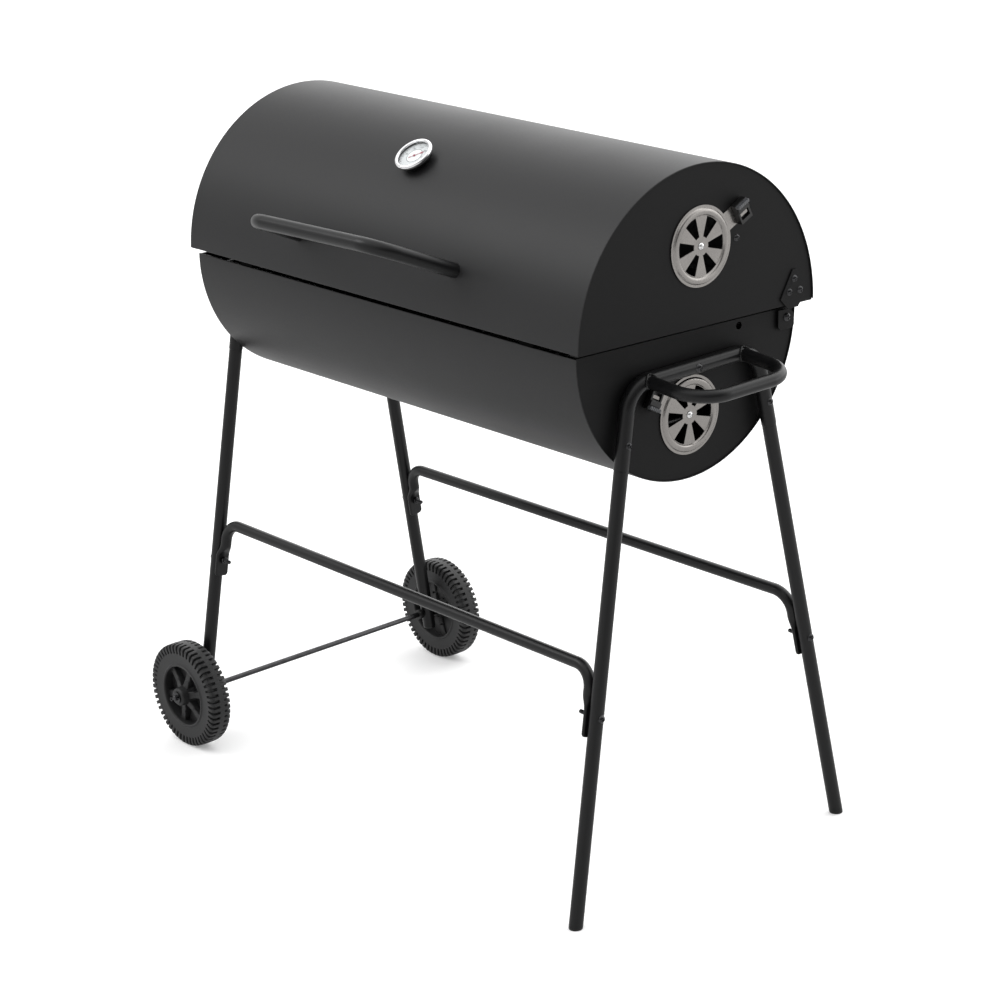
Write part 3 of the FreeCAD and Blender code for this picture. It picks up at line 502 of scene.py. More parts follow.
def glass(name):
    """Clear flat window: mostly see-through, with a mirror gleam at low angles."""
    material, tree = new_material(name)
    tree.nodes.remove(tree.nodes["Principled BSDF"])
    clear = add(tree, "BsdfTransparent", {"Color": (0.97, 0.98, 0.98, 1)})
    blur = ramp(tree, noise(tree, 60.0), 0.02, 0.05)
    gleam = add(tree, "BsdfGlossy", {"Color": (1, 1, 1, 1), "Roughness": blur})
    facing = add(tree, "Fresnel", {"IOR": 1.45}).outputs["Fac"]
    inside = add(tree, "NewGeometry").outputs["Backfacing"]
    outer = add(tree, "Math", {0: facing, 1: inside}, operation="SUBTRACT", use_clamp=True)
    mix = add(tree, "MixShader", {"Fac": outer.outputs["Value"], 1: clear.outputs["BSDF"],
                                  2: gleam.outputs["BSDF"]})
    feed(tree, tree.nodes["Material Output"].inputs["Surface"], mix.outputs["Shader"])
    return material


PAINT = paint("heatproof_black_paint", (0.0098, 0.0098, 0.0104), 0.47, 0.33)
# A darker, duller copy of the lid paint: its darker base and lower gloss are painted shade on the
# end plates and hinge brackets.
END_SHADE_PAINT = paint("matt_black_shade_paint", (0.0048, 0.0048, 0.005), 0.55, 0.145)
FRAME_PAINT = paint("frame_black_paint", (0.0062, 0.0062, 0.0066), 0.34, 0.27, 1100, 0.012, 0.12)
# Near-black without gloss: painted shade, so the lid's rest tabs read as the dark gap between lid
# and bowl.
SHADE_BLACK = paint("painted_shade_black", (0.0016, 0.0016, 0.0016), 0.8, 0.03)
# Name, colour, roughness, metallic, specular, tone, patch, grain, depth.
BLACK_ZINC = surface("black_zinc", (0.045, 0.045, 0.047), 0.17, 0.9, 0.7, 0.25, 90, 1500, 0.006)
BRUSHED = surface("brushed_steel", (0.27, 0.257, 0.245), 0.26, 1.0, 0.5, 0.07, 30, 500, 0.006,
                  stretch=(1, 9, 0.35), uneven=0.07)
ZINC = surface("bright_zinc", (0.72, 0.72, 0.72), 0.2, 1.0, 0.5, 0.1, 120, 1500, 0.006)
KNOB_PLASTIC = surface("knob_plastic", (0.006, 0.006, 0.006), 0.36, 0, 0.4, 0.1, 60, 2200, 0.012)
# Light grey plastic for the knob's finger ridges, lighter than the knob's black.
RIDGE_PLASTIC = surface("light_grey_ridge_plastic", (0.1, 0.103, 0.11), 0.4, 0, 0.5, 0.2, 150, 2200)
WHEEL_PLASTIC = surface("wheel_plastic", (0.0165, 0.0165, 0.017), 0.48, 0, 0.36, 0.12, 25, 1600)
CHROME = surface("chrome", (0.86, 0.86, 0.87), 0.09, 1.0, 0.5, 0.03, 9, 300, 0.002, uneven=0.015)
DIAL_GREY = surface("dial_grey", (0.74, 0.74, 0.75), 0.45, 0, 0.5, 0.03, 60, 2500, 0.004)
DIAL_WHITE = surface("dial_white", (0.93, 0.93, 0.93), 0.4, 0, 0.5, 0.02, 60, 2500, 0.004)
DIAL_INK = surface("dial_ink", (0.12, 0.12, 0.13), 0.5, 0, 0.5, 0.2, 200, 2500, 0.002)
NEEDLE_RED = surface("needle_red", (0.36, 0.012, 0.05), 0.35, 0, 0.5, 0.08, 150, 2000, 0.004)
GLASS = glass("gauge_glass")
# Grate chrome darkened to a dull grey: painted shade for the grates inside the barrel, seen
# through the gaps.
GRATE_METAL_DARKENED_AS_SHADE = surface("grate_chrome_darkened_as_shade", (0.1, 0.1, 0.102), 0.5, 1.0, 0.5, 0.12, 25, 700, 0.01)
ENAMEL = surface("black_enamel", (0.018, 0.018, 0.018), 0.3, 0, 0.5, 0.2, 30, 500)
SLOT_MATERIAL = {"black_lid": PAINT, "black_frame": FRAME_PAINT, "black_fastener": BLACK_ZINC,
                 "vent_steel": BRUSHED, "zinc": ZINC, "black_plastic": KNOB_PLASTIC,
                 "wheel_plastic": WHEEL_PLASTIC, "bezel_chrome": CHROME,
                 "dial_white": DIAL_WHITE, "needle_red": NEEDLE_RED, "gauge_glass": GLASS,
                 "grate_wire": GRATE_METAL_DARKENED_AS_SHADE, "charcoal_wire": ENAMEL}


def finish_cad_nodes():
    """Procedural finish and rounded edges on the CAD nodes that stay in view."""
    for name, node in frame["nodes"].items():
        node.data.materials.clear()
        finish = SLOT_MATERIAL[NODE_SLOT[name]]
        # The hinge brackets take the darker end paint, painted shade to match the end plates.
        node.data.materials.append(END_SHADE_PAINT if "hinge_bracket" in name else finish)
        weld = node.modifiers.new("weld", "WELD")
        weld.merge_threshold = 1e-5
        round_edges(node, 0.3, 50)


# ---- fasteners
def phillips(head_r, head_h, shank_r, shank):
    """Pan-head screw with a cross recess, its head standing on Z = 0."""
    sphere_r = (head_r ** 2 + head_h ** 2) / (2 * head_h)
    profile = [(0, -shank), (shank_r - 0.4, -shank), (shank_r, -shank + 0.6), (shank_r, 0),
               (head_r - 0.3, 0)]
    for k in range(9):
        rise = acos(1 - head_h / sphere_r) * (1 - k / 8)
        profile.append((sphere_r * sin(rise), head_h - sphere_r * (1 - cos(rise))))
    screw = revolved(profile, steps=40, rounding=0.25)
    arm, half = head_r * 0.6, head_r * 0.15
    cross = []
    for k in range(4):
        for u, v in ((arm, -half), (arm, half), (half, half)):
            angle = radians(90 * k)
            cross.append((u * cos(angle) - v * sin(angle),
                          u * sin(angle) + v * cos(angle)))
    recess = flat([cross], head_h, 0.15)
    return carved(screw, [(recess, shift(0, 0, head_h * 1.02))])


def threaded(radius, low, high, pitch=1.0):
    """A stud with a helical thread along Z."""
    loops = []
    count = round((high - low) / pitch * 8)
    for k in range(count + 1):
        z = low + (high - low) * k / count
        tip = min(1.0, (high - z) / pitch, (z - low) / pitch)
        loop = []
        for j in range(24):
            phase = (z / pitch + j / 24) % 1.0
            depth = abs(phase - 0.5) + 0.5 * (1 - tip)
            loop.append(spun(radius - depth, 2 * pi * j / 24, z))
        loops.append(loop)
    return skin(loops)


def hex_nut(flats, height, bore):
    """Hexagon nut with chamfered corners, standing on Z = 0."""
    count = 72
    chamfer = height * 0.2

    def loop(z, limit):
        points = []
        for k in range(count):
            angle = 2 * pi * k / count
            corner = (angle + pi / 6) % (pi / 3) - pi / 6
            reach = min(flats / 2 / cos(corner), limit)
            points.append(spun(reach, angle, z))
        return points

    top = flats / 2 * 0.97
    widest = flats
    inner = flats / 2 + chamfer * 0.4
    loops = [loop(0, top), loop(chamfer * 0.5, inner), loop(chamfer, widest),
             loop(height - chamfer, widest), loop(height - chamfer * 0.5, inner),
             loop(height, top), loop(height, bore + 0.5), loop(height - 0.5, bore),
             loop(0.5, bore), loop(0, bore + 0.5)]
    return skin(loops, wrap=True)


# ---- barrel
def polar(centre_z, radius, degrees):
    angle = radians(degrees)
    return (radius * cos(angle), centre_z + radius * sin(angle))


def shell_outline(centre_z, radius, thickness, start, end, hem):
    """Section of the rolled sheet; hem is 1 where the folded edge is, and 0 beside it."""
    depth = thickness * (1 + hem)
    tip = degrees(depth / 2 / radius)
    back = degrees(HEM / radius)
    low, high = start + tip, end - tip
    inner = radius - thickness
    folded = radius - depth

    def sweep(reach, first, last):
        return [polar(centre_z, reach, first + (last - first) * k / 120) for k in range(121)]

    def rounded_edge(angle, side):
        points = []
        for k in range(1, 8):
            swing = pi * k / 8
            reach = radius - depth / 2 * (1 - cos(swing))
            out = degrees(depth / 2 * sin(swing) / radius)
            points.append(polar(centre_z, reach, angle + side * out))
        return points

    def steps(*places):
        return [polar(centre_z, reach, angle) for reach, angle in places]

    return (sweep(radius, low, high) + rounded_edge(high, 1)
            + steps((folded, high), (folded, end - back), (inner, end - back * 1.05))
            + sweep(inner, end - back * 1.1, start + back * 1.1)
            + steps((inner, start + back * 1.05), (folded, start + back), (folded, low))
            + rounded_edge(low, -1)[::-1])


def shell(centre_z, radius, start, end, ends):
    x0, x1 = ends[-1], ends[1]
    edge = 0.3
    clear = FLANGE + 3
    stations = [(x0, edge, 0), (x0 + edge, 0, 0), (x0 + clear, 0, 0), (x0 + clear + 1, 0, 1),
                (x1 - clear - 1, 0, 1), (x1 - clear, 0, 0), (x1 - edge, 0, 0), (x1, edge, 0)]
    loops = []
    for x, inset, hem in stations:
        outline = shell_outline(centre_z, radius - inset, SHEET - 2 * inset, start, end, hem)
        loops.append([Vector((x, y, z)) for y, z in outline])
    return skin(loops)


def wedge_slots(centre):
    """Outlines of the six wedge-shaped air slots."""
    slots = []
    for k in range(6):
        low, high = 60 * k - SLOT_HALF, 60 * k + SLOT_HALF
        slots.append(arc(centre, SLOT_R[0], low, high, 6)
                     + arc(centre, SLOT_R[1], high, low, 12))
    return slots


def end_plate(side, plate_x, centre_z, radius, start, end, holes):
    """Half-round end plate with a flange turned inwards along its curved edge."""
    outline = arc((0, centre_z), radius, start, end, 120)
    face = flat([outline] + holes, SHEET, 0.35)
    back = plate_x - side * (SHEET - 0.05)
    tip = plate_x - side * FLANGE
    section = soften([(back, radius), (tip, radius), (tip, radius - SHEET),
                      (back, radius - SHEET)], 0.35)
    loops = []
    for k in range(121):
        angle = start + (end - start) * k / 120
        loops.append([Vector((x, *polar(centre_z, r, angle))) for x, r in section])
    return [(face, shift(plate_x - side * SHEET / 2, 0, 0) @ FACING_X), skin(loops)]


def stop_place(centre, tab_angle):
    y, z = polar(centre[1], STOP_R, tab_angle - STOP_BEHIND)
    return y + centre[0], z


def make_barrel():
    rise = degrees(asin((LID_EDGE_Z - AXIS_Z) / LID_R))
    lid_span = (rise, 180 - rise)
    lid = shell(AXIS_Z, LID_R, *lid_span, LID_X)
    bowl = shell(BOWL_AXIS_Z, BOWL_R, 180, 360, BOWL_X)
    short = FLANGE + LIP_SHORT
    lip = block((BOWL_X[-1] + short, BOWL_R - LIP_FACES[0], BOWL_AXIS_Z - HEM),
                (BOWL_X[1] - short, BOWL_R - LIP_FACES[1], BOWL_AXIS_Z + REAR_LIP), 0.3, 2)
    piece("lid_sheet", "lid_shell", PAINT, [lid], BARREL)
    piece("bowl_sheet", "bowl_shell", PAINT, [bowl, lip], BARREL)

    vent_holes = [wedge_slots(vent) + [circle(vent, PIVOT_HOLE_R, 16)]
                  for vent in (LID_VENT, BOWL_VENT)]
    lid_holes = {1: vent_holes[0], -1: []}
    bowl_holes = {1: vent_holes[1] + [circle(ROUND_HOLE, ROUND_HOLE_R)], -1: []}
    for side, name in ((1, "right"), (-1, "left")):
        # The end plates take the darker end paint, whose darkening is painted shade.
        plate_x = LID_X[side] - side * RECESS
        span = (-END_OVERRUN, 180 + END_OVERRUN) if side > 0 else lid_span
        parts = end_plate(side, plate_x, AXIS_Z, LID_R - SHEET, *span, lid_holes[side])
        piece("lid_end_plate_" + name, "lid_end_" + name, END_SHADE_PAINT, parts, BARREL)
        plate_x = BOWL_X[side] - side * RECESS
        parts = end_plate(side, plate_x, BOWL_AXIS_Z, BOWL_R - SHEET, 180, 360,
                          bowl_holes[side])
        piece("bowl_end_plate_" + name, "bowl_end_" + name, END_SHADE_PAINT, parts, BARREL)


def make_rest_tabs():
    """Z-shaped tabs welded inside the lid's front, ending just above the bowl's rim."""
    wall = -(LID_R - 2 * SHEET) + 0.6
    rim = BOWL_AXIS_Z + GAP
    parts = []
    for x in (-300.0, 280.0):
        for low, high in (((x, wall, 752), (x + 26, wall + 2, 774)),
                          ((x, wall, 751.6), (x + 26, wall + 11, 753.6)),
                          ((x, wall + 9, rim), (x + 26, wall + 11, 753.6)),
                          ((x, wall + 9, rim), (x + 26, wall + 19, rim + 2))):
            parts.append(block(low, high, 0.3, 2))
    # The tabs take the painted-shade black.
    piece("rest_tabs", "lid_rest_tabs", SHADE_BLACK, parts, BARREL)


def make_hinges():
    screws = []
    pivots = []
    screw = phillips(5.2, 2.9, 2.4, 9)
    nut = hex_nut(7, 3.2, 2.4)
    pivot = phillips(6.0, 3.4, 3.0, 16)
    pivot_nut = hex_nut(10, 5, 3.0)
    for side in (1, -1):
        lid_x = LID_X[side] - side * RECESS
        for y, z in HINGE_SCREWS:
            screws.append((screw, aim((lid_x + side * BRACKET_T, y, z), (side, 0, 0))))
            screws.append((nut, aim((lid_x - side * SHEET, y, z), (-side, 0, 0))))
        lug_x = BOWL_X[side] + side * GAP
        pivots.append((pivot, aim((lug_x + side * (BRACKET_T + GAP), *HINGE), (side, 0, 0))))
        inner_x = BOWL_X[side] - side * (RECESS + SHEET)
        pivots.append((pivot_nut, aim((inner_x, *HINGE), (-side, 0, 0))))
    piece("hinge_screws", "hinge_bracket_screws", BLACK_ZINC, screws, BARREL)
    piece("hinge_pivots", "hinge_pivot_bolts", BLACK_ZINC, pivots, BARREL)


# ---- vents
def vent_disc():
    """Pressed disc about Z: a raised bead near the rim and six wedge slots."""
    low, top_in, top_out, high = VENT_BEAD

    def slope(start, end, way):
        return [(start + (end - start) * k / 6,
                 VENT_LIFT * (0.5 - 0.5 * way * cos(pi * k / 6))) for k in range(7)]

    rows = [(2.1, 0), (7, 0), (SLOT_R[0], 0), (20, 0), (30, 0), (SLOT_R[1], 0)]
    rows += slope(low, top_in, 1) + [((top_in + top_out) / 2, VENT_LIFT + 0.25)]
    rows += slope(top_out, high, -1) + [(VENT_R, 0)]
    columns = 144
    step = 360 / columns
    bm = bmesh.new()
    grid = []
    for radius, height in rows:
        grid.append([bm.verts.new(spun(radius, radians(step * k), height))
                     for k in range(columns)])
    for row in range(len(rows) - 1):
        cut = SLOT_R[0] <= rows[row][0] < SLOT_R[1]
        for k in range(columns):
            from_slot = abs(((k - 0.5) * step + 30) % 60 - 30)
            if not (cut and from_slot < SLOT_HALF):
                bm.faces.new((grid[row][k - 1], grid[row][k], grid[row + 1][k],
                              grid[row + 1][k - 1]))
    bmesh.ops.recalc_face_normals(bm, faces=bm.faces)
    bmesh.ops.solidify(bm, geom=bm.faces, thickness=VENT_T)
    disc = finished(bm)
    depth = min(v.co.z for v in disc.vertices)
    disc.transform(shift(0, 0, -depth))
    return disc


def vent_knob():
    """Finger piece about the vent's pivot: local X runs out along the tab."""
    near, far = KNOB_R
    body = block((near, -KNOB_HALF, VENT_T + 0.02), (far, KNOB_HALF, 9.6), 0.7)
    window = block((near + 3.0, -9.5, 4.6), (far - 3.0, 0.5, 14), 0.5)
    body = carved(body, [window])
    step = block((near + 0.6, 1.8, 7), (far - 0.6, 8.6, 11.6), 0.5)
    return [body, step]


def vent_ridge():
    near, far = KNOB_R
    parts = [block((near, KNOB_HALF - 4.6, 8.4), (far, KNOB_HALF - 1.0, 14.4), 0.4)]
    for k in range(6):
        x = near + 1.5 + k * 3.3
        parts.append(block((x, KNOB_HALF - 5.2, 8.8), (x + 1.6, KNOB_HALF - 0.3, 15.0), 0.25))
    return parts


def make_vents():
    disc = vent_disc()
    tab = flat([soften([(47, -TAB_W / 2), (TAB_REACH, -TAB_W / 2), (TAB_REACH, TAB_W / 2),
                        (47, TAB_W / 2)], 1.5)], VENT_T - 0.1, 0.25)
    knob = vent_knob()
    ridge = vent_ridge()
    clip = block((KNOB_R[0] + 3.8, -5.6, 4.4), (KNOB_R[1] - 3.8, -1.0, 7.8), 0.5)
    pivot = phillips(5.0, 3.0, 2.0, 9)
    pivot_nut = hex_nut(8, 4, 2.0)
    stop = phillips(5.2, 2.9, 2.4, 6)
    for name, side_x, centre, tab_angle in (
            ("lid", LID_X[1], LID_VENT, LID_TAB_ANGLE),
            ("bowl", BOWL_X[1], BOWL_VENT, BOWL_TAB_ANGLE)):
        plate_x = side_x - RECESS
        back = shift(plate_x + GAP, *centre) @ FACING_X
        turned = back @ turn(tab_angle, "Z")
        piece(name + "_vent_plate", name + "_vent_disc", BRUSHED,
              [(disc, back), (tab, turned @ shift(0, 0, VENT_T / 2 - 0.02))], BARREL,
              bevel=0.22)
        piece(name + "_vent_finger_piece", name + "_vent_knob", KNOB_PLASTIC,
              [(mesh, turned) for mesh in knob], BARREL, bevel=0.2)
        piece(name + "_vent_finger_ridge", name + "_vent_knob", RIDGE_PLASTIC,
              [(mesh, turned) for mesh in ridge], BARREL, stands_for=False)
        piece(name + "_vent_clip", name + "_vent_disc", BRUSHED, [(clip, turned)], BARREL,
              stands_for=False)
        seat = (plate_x + 2 * GAP + VENT_T, *centre)
        piece(name + "_vent_rivet", name + "_vent_pivot", ZINC,
              [(pivot, aim(seat, (1, 0, 0)) @ turn(35, "Z")),
               (pivot_nut, aim((plate_x - SHEET, *centre), (-1, 0, 0)))], BARREL)
        stop_at = aim((plate_x, *stop_place(centre, tab_angle)), (1, 0, 0))
        piece(name + "_vent_stop", name + "_vent_stop_screw", BLACK_ZINC, [(stop, stop_at)],
              BARREL)


# ---- lid handle and thermometer
def on_barrel(point, direction, radius, centre_z):
    """Slides a point along a direction to the outside of a cylinder about X."""
    y, z = point.y, point.z - centre_z
    dy, dz = direction.y, direction.z
    a = dy * dy + dz * dz
    b = y * dy + z * dz
    root = sqrt(b * b - a * (y * y + z * z - radius * radius))
    return point + direction * ((-b + root) / a)


def make_lid_handle():
    aim_angle = radians(HANDLE_AIM)
    foot_angle = radians(HANDLE_FOOT)
    out = Vector((0, -cos(aim_angle), sin(aim_angle)))
    up = Vector((1, 0, 0)).cross(out).normalized()
    middle = Vector((0, -LID_R * cos(foot_angle), AXIS_Z + LID_R * sin(foot_angle)))
    slant = HANDLE_HALF * tan(radians(HANDLE_OFF_LEVEL))
    across = Vector((HANDLE_HALF, 0, 0)) - up * slant
    left, right = middle - across, middle + across
    lean = Vector((HANDLE_OUT * tan(radians(HANDLE_LEAN)), 0, 0))
    arms = [(out * HANDLE_OUT + lean).normalized(), (out * HANDLE_OUT - lean).normalized()]
    corners = [left, left + out * HANDLE_OUT + lean, right + out * HANDLE_OUT - lean, right]
    path = bent(corners, HANDLE_BEND, 4.0)
    frames = path_frames(path)
    walls = []
    for radius in (HANDLE_D / 2, HANDLE_D / 2 - WALL):
        loops = []
        for k, (point, (tangent, side, lift)) in enumerate(zip(path, frames)):
            loop = ring(point, side, lift, radius, 40)
            if k in (0, len(path) - 1):
                arm = arms[0] if k == 0 else arms[1]
                loop = [on_barrel(p, arm, LID_R + 0.02, AXIS_Z) for p in loop]
            loops.append(loop)
        walls.append(loops)
    bar = skin(walls[0] + walls[1][::-1], wrap=True)
    piece("lid_handle_tube", "lid_handle", FRAME_PAINT, [bar], BARREL)
    screw = phillips(6.0, 3.2, 2.4, 16)
    parts = []
    for foot in (left, right):
        radial = Vector((0, foot.y, foot.z - AXIS_Z)).normalized()
        seat = Vector((foot.x, 0, AXIS_Z)) + radial * (LID_R - SHEET - 0.4)
        parts.append((screw, aim(seat, -radial)))
    piece("lid_handle_inner_screws", "lid_handle_screws", BLACK_ZINC, parts, BARREL)


def dial_print(place):
    """Scale marks, generic numbers and the grey border of the white centre."""
    parts = []
    for k in range(28):
        swing = -135 + 10 * k
        length = 3.4 if k % 3 == 0 else 1.8
        width = 0.28 if k % 3 == 0 else 0.16
        mark = flat([[(-width, 21.6 - length), (width, 21.6 - length), (width, 21.6),
                      (-width, 21.6)]], 0.06, 0.01)
        parts.append((mark, place @ turn(-swing, "Z")))
    for k in range(5):
        text = bpy.data.curves.new("number", "FONT")
        text.body = str(50 + 50 * k)
        text.size = 4.4
        text.align_x = "CENTER"
        text.align_y = "CENTER"
        text.extrude = 0.03
        drawn = bpy.data.objects.new("number", text)
        mesh = bpy.data.meshes.new_from_object(drawn)
        bpy.data.objects.remove(drawn)
        swing = radians(-90 + 45 * k)
        parts.append((mesh, place @ shift(15.6 * sin(swing), 15.6 * cos(swing), 0)))
    border = revolved([(11.3, -0.03), (12.0, -0.03), (12.0, 0.03), (11.3, 0.03)], rounding=0)
    parts.append((border, place))
    return parts


def make_thermometer():
    angle = radians(GAUGE_ANGLE)
    point = Vector((GAUGE_X, -LID_R * cos(angle), AXIS_Z + LID_R * sin(angle)))
    place = Matrix.Translation(point) @ turn(90 - GAUGE_ANGLE, "X")
    top = GAUGE_FACE
    dial_r = GAUGE_CUP_R - 1.7
    rim = GAUGE_CUP_R + 0.1
    cup = revolved([(4.9, 1.6), (15, 1.6), (GAUGE_CUP_R - 2, 3), (GAUGE_CUP_R, 5.5),
                    (GAUGE_CUP_R, top - 3.2), (GAUGE_CUP_R - 1.5, top - 3.2),
                    (GAUGE_CUP_R - 1.5, 7), (4.9, 7)], 288, 0.4, 72, 0.7, GAUGE_CUP_R - 0.5)
    bezel = revolved([(rim, top - 7), (GAUGE_R - 1, top - 7), (GAUGE_R, top - 5.5),
                      (GAUGE_R, top - 2.5), (GAUGE_R - 1.2, top - 0.6), (GAUGE_R - 3.0, top),
                      (GAUGE_R - 4.8, top - 0.9), (GAUGE_R - 5.3, top - 3.0), (rim, top - 3.0)],
                     128, 0.9)
    dial = revolved([(1.6, 8.0), (dial_r, 8.0), (dial_r, 9.0), (1.6, 9.0)], rounding=0.1)
    centre = revolved([(1.6, 8.9), (11.6, 8.9), (11.6, 9.05), (1.6, 9.05)], rounding=0.03)
    lens = revolved([(0, top - 4.2), (dial_r, top - 4.2), (dial_r, top - 3.2), (0, top - 3.0)],
                    rounding=0.2)
    print_place = place @ shift(0, 0, 9.06)
    for name, node, material, parts in (("cup", "cup", KNOB_PLASTIC, [(cup, place)]),
                                        ("bezel", "bezel", CHROME, [(bezel, place)]),
                                        ("dial", "dial", DIAL_GREY, [(dial, place)]),
                                        ("dial_centre", "dial", DIAL_WHITE, [(centre, place)]),
                                        ("dial_print", "dial", DIAL_INK, dial_print(print_place)),
                                        ("lens", "lens", GLASS, [(lens, place)])):
        piece("gauge_" + name, "thermometer_" + node, material, parts, BARREL,
              stands_for=name == node)
    blade = flat([[(-8.5, -1.0), (-5.5, -0.35), (9.5, -0.35), (9.5, -1.7), (14.5, 0),
                   (9.5, 1.7), (9.5, 0.35), (-5.5, 0.35), (-8.5, 1.0)]], 0.4, 0.08)
    hub = revolved([(0, 9.3), (1.8, 9.3), (1.6, 10.3), (0, 10.4)], steps=32, rounding=0.15)
    piece("gauge_needle", "thermometer_needle", NEEDLE_RED,
          [(blade, place @ turn(NEEDLE_ANGLE, "Z") @ shift(0, 0, 9.65)), (hub, place)], BARREL)


# ---- end frames, legs and carry handle
def leg_point(end, y_side, along):
    """A point on a leg's centre line in the upright frame, down from the sharp corner."""
    splay = radians(end["splay"])
    return Vector((0, y_side * (end["corner"] + along * sin(splay)),
                   FRAME_Z - along * cos(splay)))


def leg_world(end, y_side, height):
    """The leg's centre line where it passes a height above the floor."""
    lean = radians(end["lean"])
    drop = (FRAME_Z - height) / cos(lean)
    y = y_side * (end["corner"] + drop * tan(radians(end["splay"])))
    return Vector((end["x"] + end["side"] * drop * sin(lean), y, height))


def level_side(up):
    """The direction nearest to +X that is square to a leg."""
    return (Vector((1, 0, 0)) - up * up.x).normalized()


def level_ring(end, y_side, height, radius, count=32):
    """The slanted leg's outline where a level plane cuts it."""
    centre = leg_world(end, y_side, height)
    up = (leg_world(end, y_side, height + 50) - centre).normalized()
    side = level_side(up)
    points = ring(centre, side, up.cross(side), radius, count)
    return [p + up * ((height - p.z) / up.z) for p in points]


def leg(end, y_side, seam_matrix):
    """Leg tube: narrowed above the seam, cut level at its lower end."""
    start = seam_matrix @ leg_point(end, y_side, LEG_SEAM)
    upper = seam_matrix @ leg_point(end, y_side, LEG_SEAM - 12)
    up = (upper - start).normalized()
    side = level_side(up)
    lift = up.cross(side)
    foot_z = end["foot_z"]
    outer = LEG_D / 2
    neck = FRAME_D / 2 - WALL - 0.05
    bore = neck - WALL
    loops = [ring(upper, side, lift, neck), ring(start, side, lift, neck),
             ring(start, side, lift, outer - 0.4), ring(start - up * 0.4, side, lift, outer),
             level_ring(end, y_side, foot_z + 0.3, outer),
             level_ring(end, y_side, foot_z, outer - 0.3),
             level_ring(end, y_side, foot_z, bore), ring(start, side, lift, bore),
             ring(upper, side, lift, bore)]
    return skin(loops, wrap=True)


def cap(end, y_side):
    """Plastic plug closing the leg's lower end."""
    foot_z = end["foot_z"]
    outer = LEG_D / 2 - 0.2
    bore = FRAME_D / 2 - 2 * WALL - 0.1
    return skin([level_ring(end, y_side, foot_z + height, radius) for height, radius in (
        (-CAP_LIP, outer - 0.8), (0.3 - CAP_LIP, outer - 0.2), (0.8 - CAP_LIP, outer),
        (-0.05, outer), (-0.05, bore), (9, bore - 0.4))])


def bead(points, radius):
    """A weld bead laid along a closed line, swelling and thinning as it goes."""
    loops = []
    for k, (point, (_, side, up)) in enumerate(zip(points, path_frames(points, True))):
        swell = 1 + 0.22 * sin(k * 2.1) + 0.12 * sin(k * 0.7 + 1)
        loops.append(ring(point, side, up, radius * swell, 10))
    return skin(loops, wrap=True)


def make_frames():
    frame_bolts = []
    leg_screws = []
    caps = {"right": [], "left": []}
    screw = phillips(5.2, 3.0, 2.4, 13)
    bolt = phillips(6.0, 3.6, 3.0, 32)
    nut = hex_nut(10, 5, 3.0)
    for end in (RIGHT, LEFT):
        lean = frame_lean(end)
        corners = [leg_point(end, -1, LEG_SEAM), leg_point(end, -1, 0),
                   leg_point(end, 1, 0), leg_point(end, 1, LEG_SEAM)]
        hoop = tube(bent(corners, FRAME_BEND, 4.0), FRAME_D / 2, FRAME_D / 2 - WALL, 0.3, 40)
        piece("end_frame_tube_" + end["name"], "end_frame_" + end["name"], FRAME_PAINT,
              [(hoop, lean)])
        side = end["side"]
        for place, y_side in (("front", -1), ("rear", 1)):
            name = place + "_" + end["name"]
            piece("leg_tube_" + name, "leg_" + name, FRAME_PAINT,
                  [leg(end, y_side, lean)])
            caps[end["name"]].append(cap(end, y_side))
            seat = leg_point(end, y_side, LEG_SEAM - LEG_SCREW_UP)
            seat.x = side * (FRAME_D / 2 - 0.3)
            leg_screws.append((screw, lean @ aim(seat, (side, 0, 0)) @ turn(20, "Z")))
        seat = (end["x"] + side * (FRAME_D / 2 - 0.3), 0, FRAME_Z)
        frame_bolts.append((bolt, aim(seat, (side, 0, 0))))
        nut_x = BOWL_X[side] - side * (RECESS + SHEET + 0.2)
        frame_bolts.append((nut, aim((nut_x, 0, FRAME_Z), (-side, 0, 0))))
    piece("frame_bolt_set", "frame_bolts", BLACK_ZINC, frame_bolts)
    piece("leg_screw_set", "leg_screws", BLACK_ZINC, leg_screws)
    piece("foot_plugs", "foot_caps", KNOB_PLASTIC, caps["right"])
    piece("wheel_leg_plugs", "wheel_leg_caps", KNOB_PLASTIC, caps["left"])


def make_carry_handle():
    droop = radians(CARRY_DROOP)
    along = Vector((cos(droop), 0, -sin(droop)))
    root = Vector((RIGHT["x"], 0, FRAME_Z))
    reach = (CARRY_X - RIGHT["x"]) / cos(droop)
    side = Vector((0, CARRY_HALF, 0))
    start = along * (FRAME_D / 2 - 1.5)
    corners = [root - side + start, root - side + along * reach, root + side + along * reach,
               root + side + start]
    bar = tube(bent(corners, CARRY_BEND, 4.0), CARRY_D / 2, CARRY_D / 2 - WALL, 0.1, 40)
    piece("carry_handle_tube", "carry_handle", FRAME_PAINT, [bar])
    up = along.cross(Vector((0, -1, 0)))
    beads = []
    for y in (-CARRY_HALF, CARRY_HALF):
        line = []
        for k in range(48):
            swing = 2 * pi * k / 48
            offset = (Vector((0, cos(swing), 0)) + up * sin(swing)) * (CARRY_D / 2 + 0.5)
            height = offset.z
            meet = sqrt(max((FRAME_D / 2 + 0.3) ** 2 - height ** 2, 0.0))
            line.append(root + Vector((meet, y, 0)) + Vector((0, offset.y, offset.z)))
        beads.append(bead(line, 1.5))
    piece("carry_handle_weld_beads", "carry_handle_welds", FRAME_PAINT, beads)


# ---- stretchers
def section(centre, across, through, half_w, half_t, count=32):
    """A circle that can widen into a slot shape."""
    points = []
    for k in range(count):
        angle = 2 * pi * (k + 0.5) / count
        straight = copysign(half_w - half_t, cos(angle))
        points.append(centre + across * (straight + half_t * cos(angle))
                      + through * (half_t * sin(angle)))
    return points


